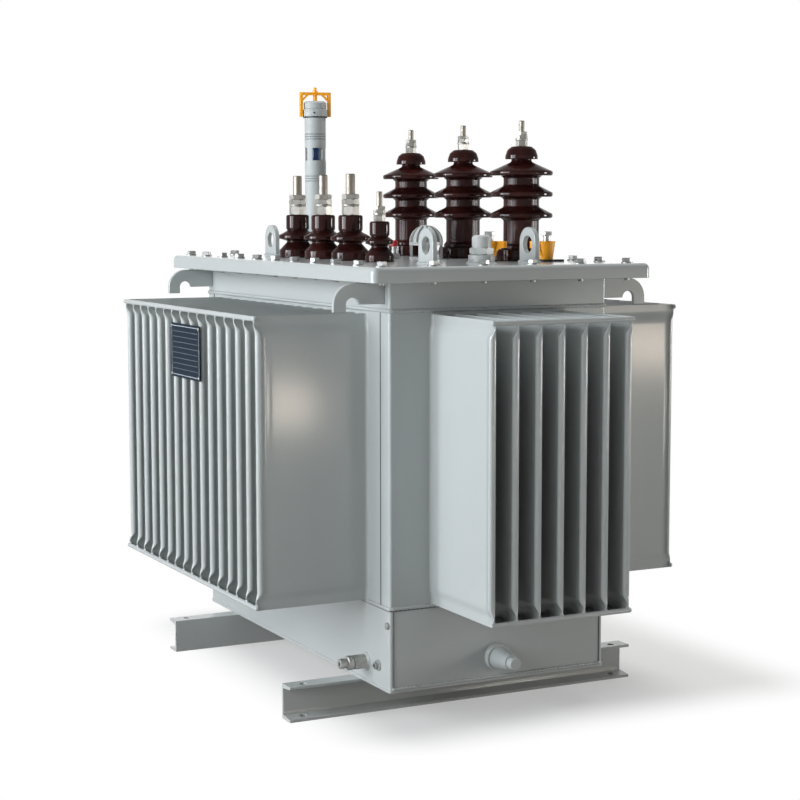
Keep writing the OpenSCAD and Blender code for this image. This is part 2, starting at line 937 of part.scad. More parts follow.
// Cap with a flat underside and a round upper edge
module bushing_cap() {
    square([hv_cap_r - hv_cap_edge_r, hv_cap_h]);
    square([hv_cap_r - hv_lip_r, hv_cap_h - hv_cap_edge_r]);
    translate([0, hv_lip_r])
        square([hv_cap_r, hv_cap_h - hv_cap_edge_r - hv_lip_r]);
    translate([hv_cap_r - hv_cap_edge_r, hv_cap_h - hv_cap_edge_r])
        circle(hv_cap_edge_r);
    translate([hv_cap_r - hv_lip_r, hv_lip_r])
        circle(hv_lip_r);
}

// Large porcelain bushing: foot, ring bead, three sheds, neck and cap
module large_bushing() {
    rotate_extrude() {
        polygon([[0, 0], [hv_foot_r, 0], [hv_foot_r, hv_foot_h - hv_lip_r],
            [hv_foot_r - hv_lip_r, hv_foot_h], [hv_body_r, hv_foot_h], [hv_body_r, hv_top_shed_z],
            [hv_neck_r, hv_neck_z], [hv_neck_r, hv_cap_z + eps], [0, hv_cap_z + eps]]);
        translate([hv_body_r, hv_foot_h + hv_bead_r - eps])
            circle(hv_bead_r);
        for (i = [0 : 1])
            translate([0, hv_shed_z + i * hv_shed_pitch])
                shed(hv_shed_r, hv_body_r, hv_slope_h);
        translate([0, hv_top_shed_z])
            shed(hv_shed_r, hv_neck_r, hv_neck_h);
        translate([0, hv_cap_z])
            bushing_cap();
    }
}

// Place of high-voltage bushing i, counted from the far end
module at_hv(i, z) {
    translate([hv_x, (1 - i) * hv_pitch, cover_top + z])
        children();
}

module hv_bushing_1() {
    color(porcelain) at_hv(0, 0) large_bushing();
}

module hv_bushing_2() {
    color(porcelain) at_hv(1, 0) large_bushing();
}

module hv_bushing_3() {
    color(porcelain) at_hv(2, 0) large_bushing();
}

module hv_terminals() {
    color(tin)
        for (i = [0 : 2])
            at_hv(i, hv_h)
                terminal(hv_stud_d, hv_stud_h, hv_nut_af, hv_collar_h, hv_nut_h);
}

// Level gauge, turned about its own axis
module at_gauge(z) {
    translate([0, gauge_y, cover_top + z])
        rotate([0, 0, gauge_turn])
            children();
}

// Shallow groove round the tube
module tube_groove() {
    difference() {
        cylinder(h = groove_w, d = gauge_d + 2 * eps);
        translate([0, 0, -eps])
            cylinder(h = groove_w + 2 * eps, d = gauge_d - 2 * groove_depth);
    }
}

// Tube with a foot, two sets of grooves and sight windows on four sides
module gauge_tube() {
    color(paint)
        at_gauge(0) {
            cylinder(h = gauge_foot_h, d = gauge_foot_d);
            difference() {
                cylinder(h = gauge_h, d = gauge_d);
                for (turn = [0, 90])
                    rotate([0, 0, turn])
                        translate([-gauge_d, -window_w / 2, window_z])
                            cube([2 * gauge_d, window_w, window_h]);
                for (z = [groove_low_z, groove_high_z], i = [0 : 2])
                    translate([0, 0, z + i * groove_pitch])
                        tube_groove();
            }
        }
}

module gauge_float() {
    color(blue)
        at_gauge(window_z)
            cylinder(h = window_h - seat, d = float_d);
}

module gauge_gasket() {
    color(dark)
        at_gauge(gauge_h)
            cylinder(h = gasket_t, d = gasket_d);
}

module gauge_head() {
    color(paint)
        at_gauge(head_z) {
            cylinder(h = head_collar_h, d1 = head_collar_d, d2 = head_collar_d - 2 * head_draft);
            translate([0, 0, head_collar_h])
                chamfered_cap(head_cap_d, head_cap_h, head_chamfer);
        }
}

// Half of the yoke's front view: bar, leg and corner strut
module yoke_half() {
    half = yoke_w / 2;
    leg_x = half - yoke_t;
    translate([-eps, yoke_z])
        square([half + eps, yoke_t]);
    translate([leg_x, 0])
        square([yoke_t, yoke_z + yoke_t]);
    polygon([[leg_x - yoke_strut, yoke_z + eps], [leg_x - yoke_strut, yoke_z],
        [leg_x, yoke_z - yoke_strut], [leg_x + eps, yoke_z - yoke_strut],
        [leg_x + eps, yoke_z - yoke_strut + yoke_strut_t], [leg_x, yoke_z - yoke_strut + yoke_strut_t],
        [leg_x - yoke_strut + yoke_strut_t, yoke_z], [leg_x - yoke_strut + yoke_strut_t, yoke_z + eps]]);
}

// Yoke over the head: two legs with struts, a top bar, a screw and its knob
module gauge_yoke() {
    knob_r = yoke_knob_d / 2;
    color(amber)
        at_gauge(head_z) {
            rotate([90, 0, 0])
                linear_extrude(yoke_strip_w, center = true) {
                    yoke_half();
                    mirror([1, 0])
                        yoke_half();
                }
            translate([0, 0, cap_z])
                cylinder(h = yoke_rise + eps, d = yoke_screw_d);
            translate([0, 0, yoke_z + yoke_t]) {
                cylinder(h = yoke_boss_h, d = yoke_boss_d);
                cylinder(h = yoke_boss_h + yoke_knob_h - knob_r, r = knob_r);
                translate([0, 0, yoke_boss_h + yoke_knob_h - knob_r])
                    sphere(knob_r);
            }
        }
}

module oil_filler() {
    nut_z = filler_weld + filler_flange_h + filler_groove_h;
    color(paint)
        translate([0, -filler_y, cover_top]) {
            cylinder(h = filler_weld, d1 = filler_d + 2 * filler_weld, d2 = filler_d);
            cylinder(h = filler_weld + filler_flange_h, d = filler_d);
            cylinder(h = nut_z, d = filler_cap_d);
            translate([0, 0, nut_z]) {
                hex(filler_nut_af, filler_nut_h);
                chamfered_cap(filler_cap_d, filler_nut_h + filler_cap_h, filler_chamfer);
            }
        }
}

module at_relief(z) {
    translate([relief_x, -relief_y, cover_top + z])
        children();
}

// Open frame of four posts between a foot plate and a seat plate, round the valve stem
module relief_valve_frame() {
    post_x = relief_r - relief_post - eps;
    color(paint)
        at_relief(0) {
            cylinder(h = relief_plate_t, r = relief_r);
            cylinder(h = relief_frame_h, d = relief_stem_d);
            for (a = [0 : 90 : 270])
                rotate([0, 0, a + relief_turn])
                    translate([post_x, -relief_post / 2, 0])
                        cube([relief_post, relief_post, relief_frame_h]);
            translate([0, 0, relief_frame_h - relief_plate_t])
                cylinder(h = relief_plate_t, r = relief_r);
        }
}

// Wedge that leaves a groove in the hood, from the crown outwards
module hood_wedge() {
    spread = tan(hood_groove_deg / 2);
    far_r = 2 * relief_r;
    linear_extrude(relief_r)
        polygon([[hood_crown_r, -hood_crown_r * spread], [far_r, -far_r * spread],
            [far_r, far_r * spread], [hood_crown_r, hood_crown_r * spread]]);
}

// Domed hood with ribs left standing between tapered grooves
module relief_valve_hood() {
    color(paint)
        at_relief(relief_frame_h) {
            cylinder(h = hood_skirt, r = relief_r);
            translate([0, 0, hood_skirt])
                difference() {
                    intersection() {
                        sphere(relief_r);
                        cylinder(h = relief_r, r = 2 * relief_r);
                    }
                    difference() {
                        for (i = [0 : hood_ribs - 1])
                            rotate([0, 0, i * 360 / hood_ribs])
                                hood_wedge();
                        sphere(relief_r - hood_groove);
                    }
                }
        }
}

// The two tap switches, each turned to its own lever direction
module at_taps(z) {
    for (tap = [[hv_x, tap_end_y, tap_end_turn], [tap_x, tap_side_y, tap_side_turn]])
        translate([tap[0], -tap[1], cover_top + z])
            rotate([0, 0, tap[2]])
                children();
}

// Round foot with a tongue that lies opposite the lever
module tap_bases() {
    tongue_r = tap_tongue_w / 2;
    color(dark)
        at_taps(0) {
            cylinder(h = tap_base_h, r = tap_base_r);
            translate([tongue_r - tap_tongue_l, -tongue_r, 0])
                cube([tap_tongue_l - tongue_r, tap_tongue_w, tap_base_h]);
            translate([tongue_r - tap_tongue_l, 0, 0])
                cylinder(h = tap_base_h, r = tongue_r);
        }
}

// Side view of the lever with the hollow that runs down into the hub
module lever_side() {
    lever_z = tap_handle_h - tap_lever_h;
    hollow_x = tap_foot_r + tap_hollow_r;
    translate([0, lever_z])
        square([tap_lever_l, tap_lever_h]);
    difference() {
        translate([0, lever_z - tap_hollow_r])
            square([hollow_x, tap_hollow_r + eps]);
        translate([hollow_x, lever_z - tap_hollow_r])
            circle(tap_hollow_r);
    }
}

// View of the lever from above, with a round end
module lever_top() {
    end_r = tap_lever_w / 2;
    translate([0, -end_r])
        square([tap_lever_l - end_r, tap_lever_w]);
    translate([tap_lever_l - end_r, 0])
        circle(end_r);
}

// Tapered hub with a lever standing out near its top
module tap_handles() {
    color(amber)
        at_taps(tap_base_h) {
            cylinder(h = tap_handle_h, r1 = tap_foot_r, r2 = tap_hub_r);
            intersection() {
                rotate([90, 0, 0])
                    linear_extrude(tap_lever_w + eps, center = true)
                        lever_side();
                linear_extrude(tap_handle_h)
                    lever_top();
            }
        }
}

module tap_lock_bolts() {
    color(tin)
        at_taps(tap_base_h + tap_handle_h) {
            cylinder(h = lock_shank_h, d = lock_shank_d);
            translate([0, 0, lock_shank_h])
                hex(lock_head_af, lock_head_h);
        }
}

module at_pocket(z) {
    translate([pocket_x, 0, cover_top + z])
        children();
}

module thermometer_pocket() {
    color(tin)
        at_pocket(0) {
            hex(pocket_nut_af, pocket_nut_h);
            cylinder(h = pocket_h, d = pocket_d);
        }
}

module thermometer_cap() {
    color(red)
        at_pocket(pocket_h)
            chamfered_cap(pocket_cap_d, pocket_cap_h, pocket_chamfer);
}

// Bare plate on the rolled edges of the low-voltage side's fins
module rating_plate() {
    color(navy)
        translate([-tank_w / 2 - fin_depth - seat, 0, fin_top - plate_drop - plate_h / 2])
            rotate([90, 0, -90])
                linear_extrude(plate_t)
                    rounded_rect(plate_w, plate_h, plate_corner_r);
}

// Fittings low on the tank point along +Z here and are laid over to -X
module on_left_side(inset, rise) {
    translate([-tank_w / 2, inset - tank_l / 2, skid_h + rise])
        rotate([0, -90, 0])
            children();
}

module drain_valve() {
    ring_z = valve_l + valve_groove_l;
    color(paint)
        on_left_side(valve_inset, valve_rise) {
            cylinder(h = valve_weld, d1 = valve_d + 2 * valve_weld, d2 = valve_d);
            cylinder(h = valve_l, d = valve_d);
            cylinder(h = ring_z, d = valve_groove_d);
            translate([0, 0, ring_z])
                cylinder(h = valve_ring_l, d = valve_d);
            translate([0, 0, ring_z + valve_ring_l])
                hex(valve_stem_af, valve_stem_l);
        }
}

module earth_terminal() {
    color(tin)
        on_left_side(earth_inset, earth_rise) {
            cylinder(h = earth_boss_l, d = earth_boss_d);
            translate([0, 0, earth_boss_l])
                cylinder(h = earth_washer_t, d = earth_washer_d);
            translate([0, 0, earth_boss_l + earth_washer_t])
                hex(earth_head_af, earth_head_h);
        }
}

// Round collar, tapered body and end spigot pointing along -Y
module drain_plug() {
    color(paint)
        translate([-plug_x, -tank_l / 2, skid_h + plug_rise])
            rotate([90, 0, 0]) {
                cylinder(h = plug_collar_l, d = plug_d);
                translate([0, 0, plug_collar_l])
                    cylinder(h = plug_taper_l, d1 = plug_taper_d, d2 = plug_end_d);
                translate([0, 0, plug_collar_l + plug_taper_l])
                    cylinder(h = plug_spigot_l, d = plug_spigot_d);
            }
}

tank_base();
tank_wall();
tank_collar();
tank_flange();
cover();
left_fins();
right_fins();
front_fins();
rear_fins();
left_fin_bars();
right_fin_bars();
front_fin_bars();
rear_fin_bars();
front_skid();
rear_skid();
left_hooks();
right_hooks();
front_lugs();
rear_lugs();
lv_bushing_1();
lv_bushing_2();
lv_bushing_3();
neutral_bushing();
lv_terminals();
hv_bushing_1();
hv_bushing_2();
hv_bushing_3();
hv_terminals();
gauge_tube();
gauge_float();
gauge_gasket();
gauge_head();
gauge_yoke();
oil_filler();
relief_valve_frame();
relief_valve_hood();
tap_bases();
tap_handles();
tap_lock_bolts();
thermometer_pocket();
thermometer_cap();
rating_plate();
drain_valve();
earth_terminal();
drain_plug();
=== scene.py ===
import bpy
import bmesh
import json
import math
from mathutils import Matrix, Vector

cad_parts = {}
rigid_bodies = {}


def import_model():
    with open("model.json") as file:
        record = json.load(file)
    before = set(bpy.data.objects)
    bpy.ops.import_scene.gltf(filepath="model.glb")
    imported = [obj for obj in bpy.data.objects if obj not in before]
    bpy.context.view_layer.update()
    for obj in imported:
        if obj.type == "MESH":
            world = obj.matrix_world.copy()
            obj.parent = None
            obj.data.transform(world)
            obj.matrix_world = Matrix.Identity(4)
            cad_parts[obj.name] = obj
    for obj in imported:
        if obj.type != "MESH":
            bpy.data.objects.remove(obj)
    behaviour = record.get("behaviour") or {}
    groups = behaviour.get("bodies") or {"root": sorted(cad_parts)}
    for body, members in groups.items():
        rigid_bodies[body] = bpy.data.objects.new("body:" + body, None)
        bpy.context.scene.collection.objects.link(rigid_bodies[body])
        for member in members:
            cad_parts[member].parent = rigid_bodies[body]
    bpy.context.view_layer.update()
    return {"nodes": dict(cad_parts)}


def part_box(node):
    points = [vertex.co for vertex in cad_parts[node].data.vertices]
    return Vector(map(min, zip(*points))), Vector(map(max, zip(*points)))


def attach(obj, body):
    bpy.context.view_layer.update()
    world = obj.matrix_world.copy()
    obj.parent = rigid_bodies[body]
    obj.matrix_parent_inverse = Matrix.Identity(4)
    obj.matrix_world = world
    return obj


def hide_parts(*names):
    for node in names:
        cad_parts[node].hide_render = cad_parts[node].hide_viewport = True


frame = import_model()
nodes = frame["nodes"]
mm = 0.001
quarter = math.pi / 2
print("frame loaded:", len(nodes), "nodes")


# sockets that take part in sums
class Wire:
    def __init__(self, bench, socket):
        self.bench = bench
        self.socket = socket

    def calc(self, operation, first, second):
        return self.bench.add("ShaderNodeMath", {"operation": operation}, {0: first, 1: second})

    def __add__(self, other):
        return self.calc("ADD", self, other)

    def __radd__(self, other):
        return self.calc("ADD", other, self)

    def __sub__(self, other):
        return self.calc("SUBTRACT", self, other)

    def __rsub__(self, other):
        return self.calc("SUBTRACT", other, self)

    def __mul__(self, other):
        return self.calc("MULTIPLY", self, other)

    def __rmul__(self, other):
        return self.calc("MULTIPLY", other, self)

    def __mod__(self, other):
        return self.calc("MODULO", self, other)

    def __pow__(self, other):
        return self.calc("POWER", self, other)

    def __abs__(self):
        return self.calc("ABSOLUTE", self, 0.0)

    def __lt__(self, other):
        return self.calc("LESS_THAN", self, other)

    def __gt__(self, other):
        return self.calc("GREATER_THAN", self, other)

    def sin(self):
        return self.calc("SINE", self, 0.0)

    def either(self, other):
        return self.calc("MAXIMUM", self, other)


# a node tree on the work bench, for materials and for geometry
class Bench:
    def __init__(self, tree):
        self.tree = tree

    def add(self, kind, settings=None, inputs=None, out=0):
        node = self.tree.nodes.new(kind)
        for key, value in (settings or {}).items():
            setattr(node, key, value)
        for key, value in (inputs or {}).items():
            if isinstance(value, Wire):
                self.tree.links.new(value.socket, node.inputs[key])
            else:
                node.inputs[key].default_value = value
        return Wire(self, node.outputs[out]) if len(node.outputs) else node


# a material with one Principled shader
class Finish(Bench):
    def __init__(self, name, **fixed):
        self.material = bpy.data.materials.new(name)
        self.material.use_nodes = True
        super().__init__(self.material.node_tree)
        self.shader = next(n for n in self.tree.nodes if n.type == "BSDF_PRINCIPLED")
        self.place = self.add("ShaderNodeTexCoord", out="Object")
        for key, value in fixed.items():
            self.feed(key, value)

    def feed(self, socket, value):
        target = self.shader.inputs[socket.replace("_", " ")]
        if isinstance(value, Wire):
            self.tree.links.new(value.socket, target)
        else:
            target.default_value = value

    def noise(self, scale, detail=2.0, rough=0.5, stretch=None):
        where = self.place
        if stretch:
            where = self.add("ShaderNodeMapping", None, {"Vector": where, "Scale": stretch})
        return self.add("ShaderNodeTexNoise", None,
                        {"Vector": where, "Scale": scale, "Detail": detail, "Roughness": rough}, "Fac")

    def axis(self, letter):
        return self.add("ShaderNodeSeparateXYZ", None, {0: self.place}, letter)

    def ease(self, value, low, high):
        return self.add("ShaderNodeMapRange", {"interpolation_type": "SMOOTHSTEP"},
                        {"Value": value, "From Min": low, "From Max": high, "To Min": 0.0, "To Max": 1.0})

    def tint(self, amount, first, second):
        return self.add("ShaderNodeMix", {"data_type": "RGBA"}, {0: amount, 6: first, 7: second}, 2)

    def relief(self, height):
        bump = self.add("ShaderNodeBump", None, {"Strength": 1.0, "Distance": 1.0, "Height": height})
        self.feed("Normal", bump)


def rgb(r, g, b):
    return (r, g, b, 1.0)


# light grey tank paint: faint orange peel, slow waviness of the sheet, dust near the ground
paintLook = {"colour": rgb(0.405, 0.432, 0.428), "shade": rgb(0.399, 0.4255, 0.421), "patchScale": 3.5,
             "dust": rgb(0.37, 0.36, 0.335), "dustTint": 0.35, "dustHigh": 0.12, "dustDull": 0.2,
             "speck": rgb(0.3, 0.31, 0.3), "speckTint": 0.10, "speckScale": 900.0, "speckLimit": 0.73,
             "specular": 0.24, "gloss": 0.295, "glossSpread": 0.03, "coat": 0.85, "coatGloss": 0.13,
             "peel": 0.000012, "peelScale": 430.0, "wave": 0.000014, "waveScale": 6.0}


def makePaint(name, **changes):
    look = dict(paintLook, **changes)
    paint = Finish(name, Specular_IOR_Level=look["specular"], Coat_Weight=look["coat"],
                   Coat_Roughness=look["coatGloss"])
    patches = paint.noise(look["patchScale"], 3.0)
    specks = paint.noise(look["speckScale"], 1.0)
    dusty = (1 - paint.ease(paint.axis("Z"), 0.0, look["dustHigh"])) * look["dustTint"]
    colour = paint.tint(paint.ease(patches, 0.3, 0.75), look["colour"], look["shade"])
    colour = paint.tint(dusty, colour, look["dust"])
    colour = paint.tint((specks > look["speckLimit"]) * look["speckTint"], colour, look["speck"])
    paint.feed("Base Color", colour)
    paint.feed("Roughness", look["gloss"] + (patches - 0.5) * look["glossSpread"] + dusty * look["dustDull"])
    peel = paint.noise(look["peelScale"], 1.0) * look["peel"]
    paint.relief(peel + paint.noise(look["waveScale"], 1.5) * look["wave"])
    return paint.material


paintFinish = makePaint("tankPaint")
tubeFinish = makePaint("tubePaint", gloss=0.42, coat=0.0, peel=0.00001, wave=0.0)
# painted light: the tank paint made lighter so that the filler and the relief valve read as lit
litFittingFinish = makePaint("castingPaint", colour=rgb(0.48, 0.50, 0.495), shade=rgb(0.46, 0.48, 0.475),
                       gloss=0.38, coat=0.2, peel=0.00001, wave=0.0)
weldFinish = makePaint("weldPaint", gloss=0.34, coat=0.4, peel=0.00003, wave=0.0)
# dark paint for the lines at the sheet joints, and for the painted shadow line under the lower seam
jointAndShadowFinish = makePaint("groovePaint", colour=rgb(0.13, 0.135, 0.13), shade=rgb(0.10, 0.10, 0.095),
                         gloss=0.6, coat=0.0, wave=0.0)

# dark brown glaze: reddish where it runs thin, fine flutes on the stems of the large bushings
glazeLook = {"colour": rgb(0.016, 0.0040, 0.0036), "thin": rgb(0.034, 0.0085, 0.0068), "specular": 0.32,
             "gloss": 0.06, "glossSpread": 0.06, "wave": 0.00028, "flutes": 76, "fluteDepth": 0.00009}


def makeGlaze(name, look, fluted):
    glaze = Finish(name, Specular_IOR_Level=look["specular"])
    runs = glaze.noise(26.0, 3.0, 0.55, (1.0, 1.0, 0.35))
    glaze.feed("Base Color", glaze.tint(glaze.ease(runs, 0.35, 0.7), look["colour"], look["thin"]))
    glaze.feed("Roughness", look["gloss"] + glaze.noise(160.0, 2.0) * look["glossSpread"])
    height = glaze.noise(34.0, 2.0) * look["wave"]
    if fluted:
        around = glaze.add("ShaderNodeUVMap", {"uv_map": "around"})
        turn = glaze.add("ShaderNodeSeparateXYZ", None, {0: around}, "X")
        stem = glaze.add("ShaderNodeSeparateXYZ", None, {0: around}, "Y")
        height = height + (turn * (2 * math.pi * look["flutes"])).sin() * stem * look["fluteDepth"]
    glaze.relief(height)
    return glaze.material


glazeFinish = makeGlaze("brownGlaze", glazeLook, False)
flutedFinish = makeGlaze("flutedGlaze", glazeLook, True)

# tin plate on the nuts, darker studs, zinc on the bolts: turning marks and dull patches
metalLook = {"tin": rgb(0.56, 0.545, 0.505), "tinDull": rgb(0.48, 0.465, 0.425),
             "stud": rgb(0.40, 0.37, 0.32), "studDull": rgb(0.33, 0.30, 0.25),
             "zinc": rgb(0.50, 0.51, 0.50), "zincDull": rgb(0.40, 0.405, 0.40),
             "steel": rgb(0.56, 0.56, 0.53), "steelDull": rgb(0.46, 0.46, 0.43),
             "markDepth": 0.000012, "pitDepth": 0.000015}


def makeMetal(name, kind, gloss):
    metal = Finish(name, Metallic=1.0)
    cloud = metal.noise(60.0, 4.0, 0.6)
    marks = metal.noise(300.0, 2.0, 0.5, (0.15, 0.15, 4.0))
    dull = metal.ease(cloud, 0.38, 0.72)
    metal.feed("Base Color", metal.tint(dull, metalLook[kind], metalLook[kind + "Dull"]))
    metal.feed("Roughness", gloss + (cloud - 0.4) * 0.12 + marks * 0.05)
    metal.relief(marks * metalLook["markDepth"] + cloud * metalLook["pitDepth"])
    return metal.material


tinFinish = makeMetal("tinPlate", "tin", 0.45)
studFinish = makeMetal("studMetal", "stud", 0.48)
zincFinish = makeMetal("zincPlate", "zinc", 0.44)
steelFinish = makeMetal("turnedSteel", "steel", 0.42)


def makePlastic(name, colour, worn, gloss):
    plastic = Finish(name, Specular_IOR_Level=0.5)
    cloud = plastic.noise(45.0, 3.0)
    plastic.feed("Base Color", plastic.tint(plastic.ease(cloud, 0.35, 0.8), colour, worn))
    plastic.feed("Roughness", gloss + (cloud - 0.5) * 0.15)
    plastic.relief(plastic.noise(700.0, 1.0) * 0.000008)
    return plastic.material


amberFinish = makePlastic("amberPlastic", rgb(0.97, 0.43, 0.016), rgb(0.92, 0.36, 0.010), 0.38)
blackFinish = makePlastic("blackPlastic", rgb(0.018, 0.018, 0.019), rgb(0.035, 0.034, 0.033), 0.5)
redFinish = makePlastic("redPlastic", rgb(0.55, 0.018, 0.016), rgb(0.42, 0.012, 0.012), 0.35)
blueFinish = makePlastic("blueFloat", rgb(0.020, 0.062, 0.20), rgb(0.028, 0.085, 0.26), 0.3)
# dark grey-blue: painted shade for the grooves round the gauge tube
tubeGrooveShadeFinish = makePlastic("greyLine", rgb(0.09, 0.11, 0.13), rgb(0.14, 0.16, 0.18), 0.6)
# near-black: painted shade for the inside of holes
holeShadeFinish = makePlastic("darkHole", rgb(0.008, 0.008, 0.008), rgb(0.014, 0.013, 0.012), 0.8)

# navy plate with a pale frame and empty ruled rows
plateLook = {"ground": rgb(0.006, 0.013, 0.023), "worn": rgb(0.010, 0.020, 0.032),
             "line": rgb(0.34, 0.37, 0.40), "specular": 0.15, "gloss": 0.58, "margin": 7.0,
             "lineWidth": 1.6, "rows": 9, "rowTint": 0.3, "rowIn": 6.0, "rowEnd": 4.0}


def makePlateFinish(look):
    low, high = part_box("rating_plate")
    plate = Finish("ruledPlate", Specular_IOR_Level=look["specular"])
    across = abs(plate.axis("Y") - (low.y + high.y) / 2)
    up = plate.axis("Z") - (low.z + high.z) / 2
    halfWide = (high.y - low.y) / 2 - look["margin"] * mm
    halfHigh = (high.z - low.z) / 2 - look["margin"] * mm
    width = look["lineWidth"] * mm
    inside = (across < halfWide + width) * (abs(up) < halfHigh + width)
    frameLine = inside * ((across > halfWide).either(abs(up) > halfHigh))
    phase = (up + halfHigh) % (2 * halfHigh / look["rows"])
    ruled = (across < halfWide - look["rowIn"] * mm) * (abs(up) < halfHigh - look["rowEnd"] * mm)
    rules = (phase < width * 0.8) * ruled
    cloud = plate.noise(40.0, 4.0)
    ground = plate.tint(plate.ease(cloud, 0.4, 0.8), look["ground"], look["worn"])
    plate.feed("Base Color", plate.tint(frameLine.either(rules * look["rowTint"]), ground, look["line"]))
    plate.feed("Roughness", look["gloss"] + (cloud - 0.5) * 0.2)
    return plate.material


plateFinish = makePlateFinish(plateLook)
print("finishes made:", len(bpy.data.materials))


# corners with a third number become arcs of that radius
def softCorners(points, steps=4):
    straightOn = 1.55
    soft = []
    for i, point in enumerate(points):
        radius = point[2] if len(point) > 2 else 0
        here = Vector(point[:2])
        if radius == 0 or i in (0, len(points) - 1):
            soft.append(tuple(here))
            continue
        back = Vector(points[i - 1][:2]) - here
        ahead = Vector(points[i + 1][:2]) - here
        half = back.angle(ahead) / 2
        if half > straightOn:
            soft.append(tuple(here))
            continue
        reach = min(radius / math.tan(half), 0.49 * back.length, 0.49 * ahead.length)
        radius = reach * math.tan(half)
        middle = (back.normalized() + ahead.normalized()).normalized()
        centre = here + middle * (radius / math.sin(half))
        start = here + back.normalized() * reach - centre
        sweep = start.angle_signed(here + ahead.normalized() * reach - centre)
        for k in range(steps + 1):
            soft.append(tuple(centre + Matrix.Rotation(-sweep * k / steps, 2) @ start))
    return soft


# outline of a round disc, its edges rounded
def disc(radius, low, high, edge=0.0, footEdge=0.0):
    return [(0, low), (radius, low, footEdge), (radius, high, edge), (0, high)]


def around(radius, angle, z):
    return Vector((radius * math.cos(angle) * mm, radius * math.sin(angle) * mm, z * mm))


# turns (radius, height) in mm round the z axis of place; the UV keeps the turn and the fluted share
def turnProfile(bm, profile, place, segs=64, fluted=None):
    layer = bm.loops.layers.uv.get("around") or bm.loops.layers.uv.new("around")
    step = 2 * math.pi / segs
    rings = []
    for r, z in profile:
        count = 1 if r < 1e-6 else segs
        rings.append([bm.verts.new(place @ around(r if count > 1 else 0, step * k, z)) for k in range(count)])
    shares = [1.0 if fluted and fluted(r, z) else 0.0 for r, z in profile]
    for j, (low, high) in enumerate(zip(rings, rings[1:])):
        for k in range(segs):
            n = (k + 1) % segs
            corners = [(low[k], k), (low[n], k + 1)] if len(low) > 1 else [(low[0], k)]
            lowers = len(corners)
            corners += [(high[n], k + 1), (high[k], k)] if len(high) > 1 else [(high[0], k)]
            if len(corners) < 3:
                continue
            face = bm.faces.new([vert for vert, turn in corners])
            for i, (loop, (vert, turn)) in enumerate(zip(face.loops, corners)):
                loop[layer].uv = (turn / segs, shares[j if i < lowers else j + 1])


# hexagon nut or bolt head between two heights, its corners chamfered
def turnNut(bm, flats, low, high, place, turn=0.0, segs=48):
    inner = flats / 2 * 0.985
    chamfer = math.tan(math.radians(30))
    rows = [[], [], [], []]
    for k in range(segs):
        a = 2 * math.pi * k / segs
        out = flats / 2 / math.cos((a % (math.pi / 3)) - math.pi / 6)
        drop = (out - inner) * chamfer
        for row, (r, z) in zip(rows, ((inner, low), (out, low + drop), (out, high - drop), (inner, high))):
            row.append(bm.verts.new(place @ around(r, a + turn, z)))
    for lower, upper in zip(rows, rows[1:]):
        for k in range(segs):
            n = (k + 1) % segs
            bm.faces.new((lower[k], lower[n], upper[n], upper[k]))
    bm.faces.new(list(reversed(rows[0])))
    bm.faces.new(rows[3])


def placed(name, data):
    thing = bpy.data.objects.new(name, data)
    bpy.context.scene.collection.objects.link(thing)
    return thing


def meshOf(name, bm):
    mesh = bpy.data.meshes.new(name)
    bm.to_mesh(mesh)
    bm.free()
    return mesh


def addPiece(name, mesh, material, stands=(), sharp=30):
    mesh.materials.clear()
    mesh.materials.append(material)
    if sharp:
        mesh.shade_smooth()
        mesh.set_sharp_from_angle(angle=math.radians(sharp))
    piece = placed(name, mesh)
    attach(piece, "root")
    if stands:
        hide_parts(*stands)


# a piece turned from one outline
def addTurned(name, points, place, segs, material, stands=(), steps=3, sharp=30):
    bm = bmesh.new()
    turnProfile(bm, softCorners(points, steps), place, segs)
    addPiece(name, meshOf(name, bm), material, stands, sharp)


# plain mesh of an object with its modifiers worked in
def bakedMesh(thing, name):
    bpy.context.view_layer.update()
    ready = thing.evaluated_get(bpy.context.evaluated_depsgraph_get())
    mesh = bpy.data.meshes.new_from_object(ready)
    mesh.name = name
    data = thing.data
    bpy.data.objects.remove(thing)
    if data.users == 0:
        bpy.data.meshes.remove(data)
    return mesh


# copy of a CAD node with its edges broken
def softCopy(node, material, bevel=1.5, steps=2, sharp=35):
    bm = bmesh.new()
    bm.from_mesh(nodes[node].data)
    bmesh.ops.remove_doubles(bm, verts=bm.verts, dist=2e-5)
    bmesh.ops.dissolve_limit(bm, angle_limit=math.radians(0.5), verts=bm.verts, edges=bm.edges)
    mesh = meshOf(node, bm)
    mesh.shade_smooth()
    mesh.set_sharp_from_angle(angle=math.radians(sharp))
    rough = placed(node + "Rough", mesh)
    if bevel:
        edge = rough.modifiers.new("edge", "BEVEL")
        edge.width = bevel * mm
        edge.segments = steps
        edge.limit_method = "ANGLE"
        edge.angle_limit = math.radians(38)
    weigh = rough.modifiers.new("weigh", "WEIGHTED_NORMAL")
    weigh.keep_sharp = True
    addPiece(node + "Soft", bakedMesh(rough, node), material, (node,), 0)


def upright(x, y, z):
    return Matrix.Translation(Vector((x, y, z)))


# middle of a node's foot, in metres
def footOf(node):
    low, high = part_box(node)
    return (low.x + high.x) / 2, (low.y + high.y) / 2, low.z


# place of a fitting on the left side of the tank, its z axis pointing away from the wall
def leftSide(x, y, z):
    return upright(x, y, z) @ Matrix.Rotation(-quarter, 4, "Y")


def leftSideOf(node):
    low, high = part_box(node)
    return leftSide(high.x, (low.y + high.y) / 2, (low.z + high.z) / 2)


# tank
softCopy("tank_wall", paintFinish, 0.0, sharp=30)
for node in ("tank_collar", "tank_flange", "tank_base"):
    softCopy(node, paintFinish, 1.5, sharp=30)
softCopy("cover", paintFinish, 1.2, sharp=30)
for node in ("front_skid", "rear_skid"):
    softCopy(node, paintFinish, 1.8, 3)
for node in ("left_hooks", "right_hooks", "front_lugs", "rear_lugs"):
    softCopy(node, paintFinish, 1.8, 3, 30)
for node in ("left_fin_bars", "right_fin_bars", "front_fin_bars", "rear_fin_bars"):
    softCopy(node, paintFinish, 0.0)
print("tank, cover and skids softened")


